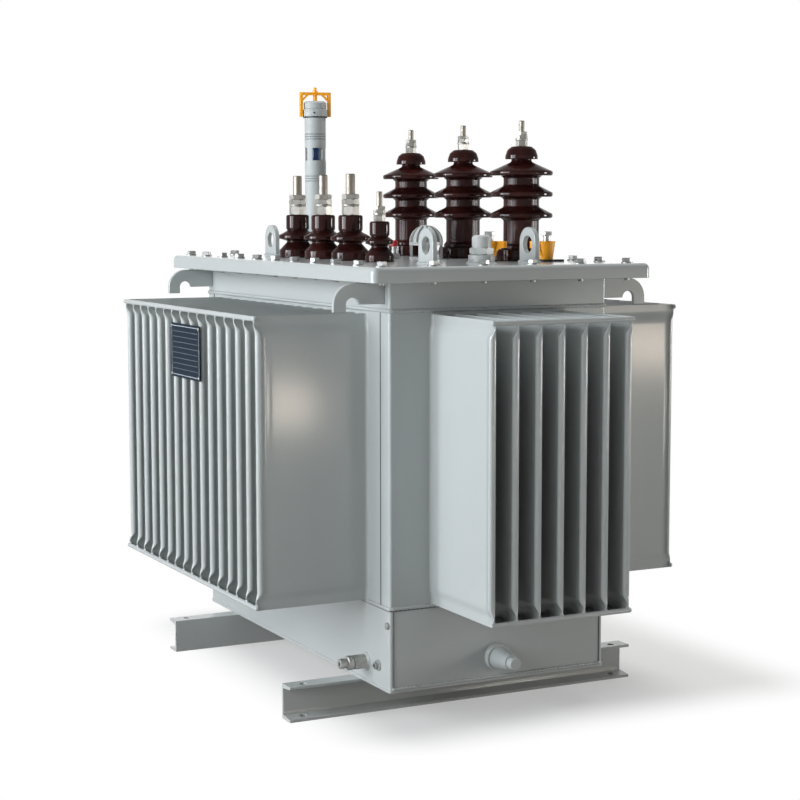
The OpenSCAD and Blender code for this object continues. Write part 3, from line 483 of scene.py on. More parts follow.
# a geometry tree with named inputs, worked into a plain mesh
class Grow(Bench):
    kinds = {float: "NodeSocketFloat", int: "NodeSocketInt", tuple: "NodeSocketVector"}

    def __init__(self, name, **inputs):
        super().__init__(bpy.data.node_groups.new(name, "GeometryNodeTree"))
        face = self.tree.interface
        face.new_socket("Geometry", in_out="INPUT", socket_type="NodeSocketGeometry")
        face.new_socket("Geometry", in_out="OUTPUT", socket_type="NodeSocketGeometry")
        self.ids = {}
        for key, value in inputs.items():
            if isinstance(value, bpy.types.Object):
                kind = "NodeSocketObject"
            elif isinstance(value, bpy.types.Material):
                kind = "NodeSocketMaterial"
            else:
                kind = self.kinds[type(value)]
            self.ids[key] = face.new_socket(key, in_out="INPUT", socket_type=kind).identifier
        self.values = inputs
        self.entry = self.tree.nodes.new("NodeGroupInput")

    def given(self, key):
        return Wire(self, self.entry.outputs[key])

    def close(self, geometry):
        solid = self.add("GeometryNodeRealizeInstances", None, {0: geometry})
        finish = self.given("Finish")
        done = self.add("GeometryNodeSetMaterial", None, {"Geometry": solid, "Material": finish})
        self.add("NodeGroupOutput", None, {0: done})

    def make(self, name, base, **values):
        carrier = placed(name + "Carrier", base)
        grow = carrier.modifiers.new("grow", "NODES")
        grow.node_group = self.tree
        for key, value in dict(self.values, **values).items():
            grow[self.ids[key]] = value
        return bakedMesh(carrier, name)


# an object that only lends its shape to a geometry tree
def seedObject(name, bm):
    bmesh.ops.recalc_face_normals(bm, faces=bm.faces)
    return bpy.data.objects.new(name, meshOf(name, bm))


def pathMesh(name, points, edges=()):
    mesh = bpy.data.meshes.new(name)
    mesh.from_pydata([tuple(p) for p in points], edges, [])
    return mesh


# one pressed fin: thin blades at both ends, swelling to a flat panel with a thick rolled outer edge
finLook = {"thick": 11.0, "edge": 7.9, "blade": 3.0, "bladeHeight": 18.0, "swell": 21.0, "depth": 262.0,
           "flare": 4.5, "fold": 7.0, "panelEnd": 34.0, "neck": 24.0, "neckIn": 0.5, "lap": 0.3,
           "wrap": 132.0, "sideCount": 16, "sidePitch": 0.0565, "endCount": 7, "endPitch": 0.0551}


def makeFin(look, height):
    foldSteps, noseSteps, support = 4, 9, 3
    rows = [0, 5, 9] + list(range(12, 40, 3)) + [46, 60]
    rows = rows + [height / 2] + [height - z for z in reversed(rows)]
    fold = look["fold"]
    bm = bmesh.new()
    loops = []
    for z in rows:
        near = min(z, height - z)
        s = min(max((near - look["bladeHeight"]) / look["swell"], 0.0), 1.0)
        s = s * s * (3 - 2 * s)
        half = (look["blade"] + (look["thick"] - look["blade"]) * s) / 2
        nose = look["blade"] / 2 + (look["edge"] - look["blade"] / 2) * s
        reach = look["depth"] + look["flare"] * (1 - s)
        side = []
        for k in range(foldSteps + 1):
            a = quarter * k / foldSteps
            side.append((fold * (1 - math.cos(a)) if k else -0.5, half + fold * (1 - math.sin(a))))
        panelEnd = reach - look["panelEnd"]
        side += [(fold + support, half), (panelEnd - support, half), (panelEnd, half)]
        side.append((reach - look["neck"], half - look["neckIn"] * s))
        for k in range(noseSteps):
            a = math.radians(look["wrap"]) * (1 - k / noseSteps)
            rise = nose * math.sin(a)
            if a > quarter:
                rise = max(rise, half - look["lap"])
            side.append((reach - nose + nose * math.cos(a), rise))
        outline = side + [(reach, 0.0)] + [(x, -y) for x, y in reversed(side)]
        loops.append([bm.verts.new((x * mm, y * mm, z * mm)) for x, y in outline])
    count = len(loops[0])
    for low, high in zip(loops, loops[1:]):
        for k in range(count):
            n = (k + 1) % count
            bm.faces.new((low[k], low[n], high[n], high[k]))
    bm.faces.new(list(reversed(loops[0])))
    bm.faces.new(loops[-1])
    return seedObject("finSeed", bm)


finLow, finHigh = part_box("left_fins")
finSeed = makeFin(finLook, (finHigh.z - finLow.z) / mm)
finRow = Grow("finRow", Seed=finSeed, Count=finLook["sideCount"], Pitch=finLook["sidePitch"],
              Turn=(0.0, 0.0, 0.0), Place=(0.0, 0.0, 0.0), Finish=paintFinish)
run = (finRow.given("Count") - 1) * finRow.given("Pitch")
start = finRow.add("ShaderNodeCombineXYZ", None, {1: run * -0.5})
step = finRow.add("ShaderNodeCombineXYZ", None, {1: finRow.given("Pitch")})
line = finRow.add("GeometryNodeMeshLine", None,
                  {"Count": finRow.given("Count"), "Start Location": start, "Offset": step})
shape = finRow.add("GeometryNodeObjectInfo", None, {"Object": finRow.given("Seed")}, "Geometry")
fins = finRow.add("GeometryNodeInstanceOnPoints", None, {"Points": line, "Instance": shape})
moved = {"Geometry": fins, "Translation": finRow.given("Place"), "Rotation": finRow.given("Turn")}
finRow.close(finRow.add("GeometryNodeTransform", None, moved))

wallLow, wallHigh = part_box("tank_wall")
finRows = {"left_fins": ("side", math.pi, (wallLow.x, 0.0, finLow.z)),
           "right_fins": ("side", 0.0, (wallHigh.x, 0.0, finLow.z)),
           "front_fins": ("end", -quarter, (0.0, wallLow.y, finLow.z)),
           "rear_fins": ("end", quarter, (0.0, wallHigh.y, finLow.z))}
for node, (kind, turn, place) in finRows.items():
    mesh = finRow.make(node + "Pressed", pathMesh("empty", []), Count=finLook[kind + "Count"],
                       Pitch=finLook[kind + "Pitch"], Turn=(0.0, 0.0, turn), Place=place)
    addPiece(node + "Pressed", mesh, paintFinish, (node,), 50)

# thin closing strips under the outer ends of the fins
strip = {"wide": 92.0, "thick": 1.6, "up": 0.4}
for node, (kind, turn, place) in finRows.items():
    out = Matrix.Translation(Vector(place)) @ Matrix.Rotation(turn, 4, "Z")
    half = (finLook[kind + "Count"] - 1) / 2 * finLook[kind + "Pitch"]
    far = finLook["depth"] * mm
    near = far - strip["wide"] * mm
    bm = bmesh.new()
    verts = [bm.verts.new(out @ Vector((x, y, z * mm))) for z in (strip["up"], strip["up"] + strip["thick"])
             for x, y in ((near, -half), (far, -half), (far, half), (near, half))]
    for face in ((3, 2, 1, 0), (4, 5, 6, 7), (0, 1, 5, 4), (1, 2, 6, 5), (2, 3, 7, 6), (3, 0, 4, 7)):
        bm.faces.new([verts[k] for k in face])
    addPiece(node + "Strip", meshOf(node + "Strip", bm), paintFinish)
print("fins pressed")

# small bushings: foot, cone, drip shed, bead and upper body
smallBushing = {"lv": {"foot": 46, "footHigh": 19, "waist": 27, "waistHigh": 41, "shed": 48, "shedHigh": 51.5,
                       "lip": 4.6, "neck": 26, "neckHigh": 67, "body": 29, "high": 107},
                "neutral": {"foot": 34, "footHigh": 15, "waist": 18.5, "waistHigh": 36, "shed": 32.5,
                            "shedHigh": 45, "lip": 3.8, "neck": 19, "neckHigh": 57, "body": 23, "high": 93}}


def makeSmallBushing(node, s):
    lip = s["lip"]
    points = [(0, 0), (s["foot"], 0, 1.5), (s["foot"], s["footHigh"], 4)]
    points += [(s["waist"] + 1, s["waistHigh"] - 3, 5), (s["waist"], s["waistHigh"], 2)]
    points += [(s["shed"] - 4, s["shedHigh"] - lip, 3), (s["shed"], s["shedHigh"] - lip, lip)]
    points += [(s["shed"], s["shedHigh"] + lip, lip), (s["neck"] + 3, s["neckHigh"] - 1, 4)]
    points += [(s["neck"], s["neckHigh"] + 2, 1.5), (s["body"] - 1, s["neckHigh"] + 3, 1.5)]
    points += [(s["body"], s["neckHigh"] + 7, 3), (s["body"], s["high"], 5), (0, s["high"])]
    addTurned(node + "Glazed", points, upright(*footOf(node)), 72, glazeFinish, (node,), 5, 45)


for i in (1, 2, 3):
    makeSmallBushing(f"lv_bushing_{i}", smallBushing["lv"])
makeSmallBushing("neutral_bushing", smallBushing["neutral"])

# large bushings: foot, bead, three thick sheds with fluted stems between them, neck and cap
largeBushing = {"foot": 60, "footHigh": 27, "stem": 42, "sheds": 3, "shed": 74, "shedHigh": 104.5,
                "pitch": 49.5, "slope": 21, "lip": 5.2, "neck": 23, "neckHigh": 232.5, "cap": 38.5,
                "capHigh": 236.5, "high": 266.5}


def makeLargeBushing(node, s):
    lip, stem, foot, cap = s["lip"], s["stem"], s["footHigh"], s["cap"]
    points = [(0, 0), (s["foot"], 0, 2), (s["foot"], foot, 4), (stem + 5, foot + 1, 2)]
    points += [(stem + 6, foot + 6, 4), (stem + 1, foot + 12, 3), (stem, foot + 15, 2)]
    for k in range(s["sheds"]):
        rim = s["shedHigh"] + k * s["pitch"]
        points += [(stem, rim - lip - 5, 4), (stem + 7, rim - lip, 5)]
        points += [(s["shed"], rim - lip, lip), (s["shed"], rim + lip, lip)]
        if k < s["sheds"] - 1:
            points += [(stem + 1, rim + s["slope"], 5), (stem, rim + s["slope"] + 4, 3)]
    points += [(s["neck"] + 2, s["neckHigh"] - 2, 5), (s["neck"], s["capHigh"], 1.5), (cap, s["capHigh"], 2)]
    points += [(cap - 0.5, s["capHigh"] + 9, 7), (cap - 5, s["high"] - 8, 10), (cap - 15, s["high"], 9)]
    points.append((0, s["high"]))
    bm = bmesh.new()
    turnProfile(bm, softCorners(points, 5), upright(*footOf(node)), 96,
                lambda r, z: abs(r - stem) < 0.6 and z > foot + 10)
    addPiece(node + "Glazed", meshOf(node, bm), flutedFinish, (node,), 45)


for i in (1, 2, 3):
    makeLargeBushing(f"hv_bushing_{i}", largeBushing)

# plain studs with a collar nut, washers and two nuts each
studs = {"lv": {"flats": 37, "collar": 21, "nut": 13, "stud": 22, "high": 97, "round": 2.5},
         "neutral": {"flats": 24, "collar": 14, "nut": 9, "stud": 13, "high": 68, "round": 1.8},
         "hv": {"flats": 24.5, "collar": 14, "nut": 9, "stud": 13, "high": 60, "round": 1.8}}
nutTurns = {"lv_bushing_1": 0.36, "lv_bushing_2": 0.40, "lv_bushing_3": 0.33, "neutral_bushing": 0.5,
            "hv_bushing_1": 0.45, "hv_bushing_2": 0.2, "hv_bushing_3": 0.6}
washers = {"count": 2, "out": 2.5, "thick": 2, "edge": 0.7}


def addNuts(bm, s, place, turn):
    turnNut(bm, s["flats"], 0, s["collar"], place, turn)
    low = s["collar"]
    for k in range(washers["count"]):
        high = low + washers["thick"]
        outline = disc(s["flats"] / 2 + washers["out"], low, high, washers["edge"], washers["edge"])
        turnProfile(bm, softCorners(outline, 2), place, 40)
        low = high
    middle = low + s["nut"] - 0.5
    turnNut(bm, s["flats"], low, middle, place, turn + 0.12)
    turnNut(bm, s["flats"] - 1, middle, middle + s["nut"] - 1, place, turn + 0.3)


def addStud(bm, s, place):
    outline = disc(s["stud"] / 2, s["collar"], s["high"], s["round"])
    turnProfile(bm, softCorners(outline, 3), place, 40)


for side in ("lv", "hv"):
    nutParts, studParts = bmesh.new(), bmesh.new()
    for node, turn in nutTurns.items():
        kind = node.split("_")[0]
        if (kind == "hv") == (side == "hv"):
            x, y, z = footOf(node)
            place = upright(x, y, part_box(node)[1].z)
            addNuts(nutParts, studs[kind], place, turn)
            addStud(studParts, studs[kind], place)
    terminals = (side + "_terminals",)
    addPiece(side + "Nuts", meshOf(side + "Nuts", nutParts), tinFinish, terminals)
    addPiece(side + "Studs", meshOf(side + "Studs", studParts), studFinish, terminals)
print("bushings and studs turned")

# level gauge: tube with sight windows, float, dark ring lines painted as groove shade, gasket, head with a
# small hole shown by a dark disc of painted shade, and yoke
gauge = {"collar": 33, "collarHigh": 20, "cap": 30, "capHigh": 41, "edge": 5, "float": 10.4, "floatEdge": 0.8,
         "lineGroups": (194.3, 304.3), "lineStep": 6.5, "lineCount": 3, "lineIn": 26.5, "lineOut": 27.85,
         "lineHigh": 1.4, "hole": 2.6, "holeUp": 9, "holeTurn": -118, "holeFrom": 30, "holeTo": 33.2}
softCopy("gauge_tube", tubeFinish, 0.5, 1, 30)
tubePlace = upright(*footOf("gauge_tube"))
floatLow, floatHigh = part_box("gauge_float")
floatPlace = upright(tubePlace.translation.x, tubePlace.translation.y, floatLow.z)
outline = disc(gauge["float"], 0, (floatHigh.z - floatLow.z) / mm, gauge["floatEdge"], gauge["floatEdge"])
addTurned("gaugeFloat", outline, floatPlace, 40, blueFinish, ("gauge_float",), 2)
# dark rings set in the tube's grooves: painted groove shade
inner, outer = gauge["lineIn"], gauge["lineOut"]
bm = bmesh.new()
for first in gauge["lineGroups"]:
    for k in range(gauge["lineCount"]):
        low = first + k * gauge["lineStep"]
        high = low + gauge["lineHigh"]
        ring = [(inner, low), (outer, low), (outer, high), (inner, high), (inner, low)]
        turnProfile(bm, ring, tubePlace, 48)
addPiece("gaugeLines", meshOf("gaugeLines", bm), tubeGrooveShadeFinish)
softCopy("gauge_gasket", blackFinish, 0.6, 2)
headPlace = upright(*footOf("gauge_head"))
cap, step = gauge["cap"], gauge["collarHigh"]
outline = [(0, 0), (gauge["collar"], 0, 1), (gauge["collar"] - 0.8, step - 1, 2), (cap - 1.5, step, 0.6),
           (cap - 1.5, step + 1.5, 0.6), (cap, step + 1.5, 1), (cap, gauge["capHigh"] - gauge["edge"], 1.5),
           (cap - gauge["edge"], gauge["capHigh"] - 0.8, 2.5), (0, gauge["capHigh"])]
addTurned("gaugeHead", outline, headPlace, 72, tubeFinish, ("gauge_head",), 4)
# painted shade: a dark disc on the head stands in for the small hole
holePlace = headPlace @ upright(0, 0, gauge["holeUp"] * mm)
holePlace = holePlace @ Matrix.Rotation(math.radians(gauge["holeTurn"]), 4, "Z")
holePlace = holePlace @ Matrix.Rotation(quarter, 4, "Y")
outline = disc(gauge["hole"], gauge["holeFrom"], gauge["holeTo"])
addTurned("gaugeHole", outline, holePlace, 16, holeShadeFinish)
softCopy("gauge_yoke", amberFinish, 1.2, 2, 30)

# oil filler: weld ring, flange, nut and cap
filler = {"weld": 34.5, "weldHigh": 5, "flange": 29.5, "flangeHigh": 19, "nut": 47, "nutHigh": 35,
          "nutTurn": 0.4, "cap": 21.5, "capEdge": 8, "high": 63}
place = upright(*footOf("oil_filler"))
top = filler["flangeHigh"]
outline = [(0, 0), (filler["weld"], 0), (filler["weld"] - 2.5, filler["weldHigh"] * 0.5, 3),
           (filler["flange"], filler["weldHigh"], 1), (filler["flange"], top, 2), (filler["cap"], top),
           (filler["cap"], top + 2), (0, top + 2)]
bm = bmesh.new()
turnProfile(bm, softCorners(outline, 4), place, 64)
turnNut(bm, filler["nut"], top + 1, filler["nutHigh"], place, filler["nutTurn"])
outline = disc(filler["cap"], filler["nutHigh"] - 1, filler["high"], filler["capEdge"])
turnProfile(bm, softCorners(outline, 6), place, 64)
addPiece("oilFiller", meshOf("oilFiller", bm), litFittingFinish, ("oil_filler",))

# relief valve, tap switches and thermometer pocket
softCopy("relief_valve_frame", litFittingFinish, 0.8, 2, 30)
softCopy("relief_valve_hood", litFittingFinish, 0.8, 2, 40)
softCopy("tap_bases", blackFinish, 1.0, 2, 30)
softCopy("tap_handles", amberFinish, 2.0, 3, 30)
softCopy("tap_lock_bolts", zincFinish, 0.6, 2, 30)
softCopy("thermometer_pocket", zincFinish, 0.6, 2, 30)
softCopy("thermometer_cap", redFinish, 1.0, 3, 30)
print("cover fittings made")

# plate and drain plug
softCopy("rating_plate", plateFinish, 0.4, 2, 30)
softCopy("drain_plug", tubeFinish, 1.5, 3, 30)

# drain valve: painted weld ring, bare turned body, ring and bored stem
valve = {"weld": 21, "weldLong": 6, "body": 16, "long": 34, "groove": 13, "grooveLong": 3, "ring": 16.2,
         "ringLong": 12, "stem": 11.5, "neckLong": 8, "end": 67, "bore": 4.2, "boreDeep": 10}
place = leftSideOf("drain_valve")
outline = [(0, 0), (valve["weld"], 0), (valve["weld"] - 2, valve["weldLong"] / 2, 2),
           (valve["body"], valve["weldLong"], 2), (0, valve["weldLong"])]
addTurned("valveWeld", outline, place, 40, weldFinish, ("drain_valve",), sharp=40)
ringLow = valve["long"] + valve["grooveLong"]
stemLow = ringLow + valve["ringLong"]
neckTop = stemLow + valve["neckLong"]
boreLow = valve["end"] - valve["boreDeep"]
outline = [(0, 4), (valve["body"], 4), (valve["body"], valve["long"], 1.2)]
outline += [(valve["groove"], valve["long"] + 0.5), (valve["groove"], ringLow)]
outline += [(valve["ring"], ringLow, 1.5), (valve["ring"], stemLow, 2)]
outline += [(valve["stem"] - 1, stemLow + 0.5), (valve["stem"] - 1, neckTop)]
outline += [(valve["stem"], neckTop + 1, 1), (valve["stem"], valve["end"], 1.5)]
outline += [(valve["bore"], valve["end"]), (valve["bore"], boreLow), (0, boreLow)]
addTurned("valveBody", outline, place, 40, steelFinish, ("drain_valve",))

# earth terminal: painted boss, washer, nut and a bored stud, with a dark disc of painted shade down its bore
earth = {"boss": 12.8, "bossLong": 4, "washer": 11.0, "washerLong": 6.0, "nut": 7.6, "end": 11, "bore": 4.0,
         "boreLow": 7, "darkIn": 2}
place = leftSideOf("earth_terminal")
outline = disc(earth["boss"], 0, earth["bossLong"], 1.0)
addTurned("earthBoss", outline, place, 40, weldFinish, ("earth_terminal",), 2)
outline = [(0, 2), (earth["washer"], 2), (earth["washer"], earth["washerLong"], 0.7),
           (earth["nut"], earth["washerLong"] - 0.4), (earth["nut"], earth["end"], 1.0),
           (earth["bore"], earth["end"]), (earth["bore"], earth["boreLow"]), (0, earth["boreLow"])]
addTurned("earthTerminal", outline, place, 40, zincFinish, ("earth_terminal",), 2)
# painted shade: a dark disc fills the bore below its mouth
outline = disc(earth["bore"] - 0.1, earth["boreLow"], earth["end"] - earth["darkIn"])
addTurned("earthHole", outline, place, 24, holeShadeFinish)

# small round bolt near the corner
sideBolt = {"round": 7.5, "high": 4.5, "edge": 2, "y": -0.526, "z": 0.228}
outline = disc(sideBolt["round"], 0, sideBolt["high"], sideBolt["edge"])
place = leftSide(wallLow.x, sideBolt["y"], sideBolt["z"])
addTurned("sideBolt", outline, place, 32, zincFinish)
print("side fittings made")

# copies of one seed on given points, each turned a little by a fixed seed
scatter = Grow("scatter", Seed=finSeed, Axis=(0.0, 0.0, 0.0), Spin=6.283, Shuffle=3, Finish=zincFinish)
shape = scatter.add("GeometryNodeObjectInfo", None, {"Object": scatter.given("Seed")}, "Geometry")
spin = scatter.add("FunctionNodeRandomValue", {"data_type": "FLOAT"},
                   {2: 0.0, 3: scatter.given("Spin"), "Seed": scatter.given("Shuffle")}, 1)
spun = scatter.add("ShaderNodeCombineXYZ", None, {2: spin})
spots = {"Points": scatter.given("Geometry"), "Instance": shape, "Rotation": scatter.given("Axis")}
copies = scatter.add("GeometryNodeInstanceOnPoints", None, spots)
scatter.close(scatter.add("GeometryNodeRotateInstances", None, {"Instances": copies, "Rotation": spun}))

# cover bolts: hexagon heads on washers above, nuts and bolt ends under the flange
bolts = {"flats": 20, "head": 9, "washer": 13.5, "washerHigh": 2.2, "shank": 6, "tail": 10,
         "xs": (61.5, 184.5, 307.5), "endY": 570, "sideX": 307.5, "ys": (0, 114, 228, 342, 456)}
boltSpots = [(sx * x, sy * bolts["endY"]) for x in bolts["xs"] for sx in (-1, 1) for sy in (-1, 1)]
boltSpots += [(sx * bolts["sideX"], sy * y) for y in bolts["ys"] for sx in (-1, 1)
              for sy in ((-1, 1) if y else (1,))]


def boltPoints(z):
    return pathMesh("boltPoints", [(x * mm, y * mm, z) for x, y in boltSpots])


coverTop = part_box("cover")[1].z
bm = bmesh.new()
turnProfile(bm, softCorners(disc(bolts["washer"], 0, bolts["washerHigh"], 0.6), 1), Matrix(), 24)
turnNut(bm, bolts["flats"], bolts["washerHigh"], bolts["washerHigh"] + bolts["head"], Matrix(), segs=24)
mesh = scatter.make("coverBolts", boltPoints(coverTop), Seed=seedObject("boltSeed", bm))
addPiece("coverBolts", mesh, zincFinish)
bm = bmesh.new()
turnNut(bm, bolts["flats"], -bolts["head"], 0, Matrix(), segs=24)
outline = disc(bolts["shank"], -bolts["head"] - bolts["tail"], 1 - bolts["head"], 0.0, 1.2)
turnProfile(bm, softCorners(outline, 2), Matrix(), 16)
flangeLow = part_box("tank_flange")[0].z
mesh = scatter.make("flangeNuts", boltPoints(flangeLow), Seed=seedObject("nutSeed", bm), Shuffle=8)
addPiece("flangeNuts", mesh, zincFinish)

# rivets of the plate
rivets = {"round": 4.2, "high": 1.8, "edge": 1.6, "inset": 7.0}
plateLow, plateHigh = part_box("rating_plate")
inset = rivets["inset"] * mm
rivetSpots = [(plateLow.x, y, z) for y in (plateLow.y + inset, plateHigh.y - inset)
              for z in (plateLow.z + inset, plateHigh.z - inset)]
bm = bmesh.new()
turnProfile(bm, softCorners(disc(rivets["round"], 0, rivets["high"], rivets["edge"]), 3), Matrix(), 16)
mesh = scatter.make("plateRivets", pathMesh("rivetSpots", rivetSpots), Seed=seedObject("rivetSeed", bm),
                    Axis=(0.0, -quarter, 0.0), Spin=0.0)
addPiece("plateRivets", mesh, tinFinish)

# blobs of weld where the blades meet the bars
nub = {"round": 4.2, "high": 3.4, "edge": 3, "out": 0.001, "inset": 0.0105}
nubSpots = []
for kind, turn, place in finRows.values():
    count, pitch = finLook[kind + "Count"], finLook[kind + "Pitch"]
    for i in range(count):
        reach = Vector((finLook["depth"] * mm + nub["out"], (i - (count - 1) / 2) * pitch, 0.0))
        spot = Matrix.Rotation(turn, 4, "Z") @ reach + Vector(place)
        nubSpots += [(spot.x, spot.y, finLow.z + nub["inset"]), (spot.x, spot.y, finHigh.z - nub["inset"])]
bm = bmesh.new()
outline = disc(nub["round"], -nub["high"], nub["high"], nub["edge"], nub["edge"])
turnProfile(bm, softCorners(outline, 2), Matrix(), 10)
mesh = scatter.make("finNubs", pathMesh("nubSpots", nubSpots), Seed=seedObject("nubSeed", bm), Shuffle=5,
                    Finish=weldFinish)
addPiece("finNubs", mesh, weldFinish, (), 60)
print("bolts, nuts, rivets and weld blobs set:", len(boltSpots), len(nubSpots))

# weld beads: a rippled round bead along a path
weldRun = Grow("weldRun", Step=0.0035, Bead=0.0026, Ripple=0.22, Waver=0.0006, Finish=weldFinish)
path = weldRun.add("GeometryNodeMeshToCurve", None, {"Mesh": weldRun.given("Geometry")})
path = weldRun.add("GeometryNodeResampleCurve", {"mode": "LENGTH"},
                   {"Curve": path, "Length": weldRun.given("Step")})
spot = weldRun.add("GeometryNodeInputIndex")
beat = (spot * 2.1).sin() * weldRun.given("Ripple") + 1
width = beat * weldRun.given("Bead")
path = weldRun.add("GeometryNodeSetCurveRadius", None, {"Curve": path, "Radius": width})
ring = weldRun.add("GeometryNodeCurvePrimitiveCircle", None, {"Resolution": 8, "Radius": 1.0})
bead = weldRun.add("GeometryNodeCurveToMesh", None,
                   {"Curve": path, "Profile Curve": ring, "Fill Caps": True, "Scale": width})
drift = weldRun.add("ShaderNodeTexNoise", None, {"Scale": 90.0}, "Color")
shift = weldRun.add("ShaderNodeVectorMath", {"operation": "SUBTRACT"}, {0: drift, 1: (0.5, 0.5, 0.5)})
waver = weldRun.given("Waver")
shift = weldRun.add("ShaderNodeVectorMath", {"operation": "SCALE"}, {0: shift, "Scale": waver})
weldRun.close(weldRun.add("GeometryNodeSetPosition", None, {"Geometry": bead, "Offset": shift}))


def addWeld(name, points, closed, finish, **values):
    edges = [(k, k + 1) for k in range(len(points) - 1)]
    if closed:
        edges.append((len(points) - 1, 0))
    mesh = weldRun.make(name, pathMesh(name, points, edges), **values)
    addPiece(name, mesh, finish, (), 60)


def roundedLoop(halfX, halfY, radius, z, steps=6, centre=(0.0, 0.0)):
    points = []
    for cx, cy, first in ((1, 1, 0), (-1, 1, 90), (-1, -1, 180), (1, -1, 270)):
        for k in range(steps + 1):
            a = math.radians(first + 90 * k / steps)
            x = centre[0] + cx * (halfX - radius) + radius * math.cos(a)
            y = centre[1] + cy * (halfY - radius) + radius * math.sin(a)
            points.append((x, y, z))
    return points


# seams round the tank with a painted shadow line under the lower one, dark lines at the sheet joints, floor
# edge and lugs
welds = {"corner": 0.006, "seamBead": 0.0042, "lineBead": 0.0016, "edgeBead": 0.0034, "lugBead": 0.0042,
         "shadeOut": 0.0004, "sheetIn": 0.043, "baseIn": 0.009, "baseUp": 0.01, "edgeIn": 0.006,
         "edgeOut": 0.001, "edgeUp": 0.0085, "lugIn": 0.006, "lugHalf": (0.0065, 0.0355), "lugCorner": 0.003}
halfX, halfY = wallHigh.x, wallHigh.y
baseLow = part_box("tank_base")[0].z
for name, z in (("lowerSeam", wallLow.z), ("upperSeam", wallHigh.z)):
    loop = roundedLoop(halfX, halfY, welds["corner"], z)
    addWeld(name, loop, True, weldFinish, Bead=welds["seamBead"])
# painted shadow: a dark line just under the lower seam bead, where shade falls below it
out = welds["shadeOut"]
loop = roundedLoop(halfX + out, halfY + out, welds["corner"], wallLow.z - welds["seamBead"])
addWeld("seamShade", loop, True, jointAndShadowFinish, Bead=welds["lineBead"], Ripple=0.1, Waver=0.001)
corners = [(sx, sy) for sx in (-1, 1) for sy in (-1, 1)]
sheetLines = [(sx * halfX, sy * (halfY - welds["sheetIn"]), wallLow.z, wallHigh.z) for sx, sy in corners]
sheetLines += [(sx * (halfX - welds["baseIn"]), sy * halfY, baseLow + welds["baseUp"], wallLow.z)
               for sx, sy in corners]
for i, (x, y, low, high) in enumerate(sheetLines):
    addWeld(f"sheetSeam_{i + 1}", [(x, y, low), (x, y, high)], False, jointAndShadowFinish, Bead=welds["lineBead"],
            Ripple=0.0, Waver=0.0)
for i, sy in enumerate((-1, 1)):
    ends = [(sx * (halfX - welds["edgeIn"]), sy * (halfY + welds["edgeOut"]), baseLow + welds["edgeUp"])
            for sx in (-1, 1)]
    addWeld(f"edgeWeld_{i + 1}", ends, False, weldFinish, Bead=welds["edgeBead"], Ripple=0.3, Waver=0.003)
for corner, node in (("lf", "front_lugs"), ("rf", "front_lugs"), ("lb", "rear_lugs"), ("rb", "rear_lugs")):
    low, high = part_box(node)
    x = low.x + welds["lugIn"] if corner[0] == "l" else high.x - welds["lugIn"]
    loop = roundedLoop(*welds["lugHalf"], welds["lugCorner"], coverTop, 3, (x, (low.y + high.y) / 2))
    addWeld("lugWeld_" + corner, loop, True, weldFinish, Bead=welds["lugBead"])
print("welds laid")

# camera at the photograph's angle
view = {"place": (-2.0069, -4.0175, 1.1278), "turn": (84.053, 0.066, -26.816), "lens": 82.3, "sensor": 36.0}
camera = placed("camera", bpy.data.cameras.new("camera"))
camera.location = view["place"]
camera.rotation_euler = [math.radians(a) for a in view["turn"]]
camera.data.lens = view["lens"]
camera.data.sensor_width = view["sensor"]
bpy.context.scene.camera = camera

# soft light: wide panels on the left, above and behind, small ones for the glow on the front faces
coolLight, paleLight, warmLight = (0.95, 0.98, 1.03), (0.97, 0.99, 1.0), (1.0, 0.86, 0.72)
creamLight, dayLight, plainLight = (1.0, 0.96, 0.90), (1.0, 0.99, 0.97), (1.0, 1.0, 1.0)
lamps = {"key": {"place": (-4.8, 0.2, 2.1), "aim": (0.0, 0.0, 0.75), "size": (3.6, 3.0), "power": 256.0,
                 "colour": coolLight},
         "edge": {"place": (-4.5, 0.9, 1.3), "aim": (-0.3, 0.0, 0.6), "size": (0.5, 2.0), "power": 50.0,
                  "colour": coolLight},
         "fill": {"place": (-4.3, -1.9, 1.7), "aim": (0.0, -0.3, 0.6), "size": (2.2, 2.2), "power": 68.0,
                  "colour": paleLight},
         "front": {"place": (-3.4, -3.0, 1.7), "aim": (0.0, -0.3, 0.6), "size": (2.2, 2.2), "power": 16.0,
                   "colour": paleLight},
         "strip": {"place": (2.2, -4.0, 0.25), "aim": (0.0, -0.7, 0.6), "size": (0.5, 0.42), "power": 8.0,
                   "colour": creamLight},
         "warm": {"place": (2.95, -4.0, 0.49), "aim": (0.4, -0.4, 0.75), "size": (0.6, 0.2), "power": 6.0,
                  "colour": warmLight},
         "glint": {"place": (1.074, -4.0, 0.297), "aim": (-0.5, -0.4, 0.7), "size": (0.18, 0.18),
                   "power": 2.4, "colour": warmLight},
         "top": {"place": (1.5, 1.1, 4.6), "aim": (0.0, 0.0, 0.95), "size": (3.6, 3.6), "power": 235.0,
                 "colour": plainLight},
         "rear": {"place": (0.3, 4.8, 1.5), "aim": (0.0, 0.2, 0.6), "size": (2.0, 1.8), "power": 60.0,
                  "colour": dayLight},
         "right": {"place": (4.2, -1.9, 0.9), "aim": (0.1, -0.4, 0.6), "size": (0.9, 1.2), "power": 70.0,
                   "colour": dayLight}}
plainLamps = ("fill", "front", "top", "rear")  # not mirrored in glaze and paint
for name, lamp in lamps.items():
    data = bpy.data.lights.new(name, "AREA")
    data.shape = "RECTANGLE"
    data.size, data.size_y = lamp["size"]
    data.energy = lamp["power"]
    data.color = lamp["colour"]
    light = placed(name, data)
    light.location = lamp["place"]
    light.visible_glossy = name not in plainLamps
    light.rotation_euler = (Vector(lamp["aim"]) - Vector(lamp["place"])).to_track_quat("-Z", "Y").to_euler()

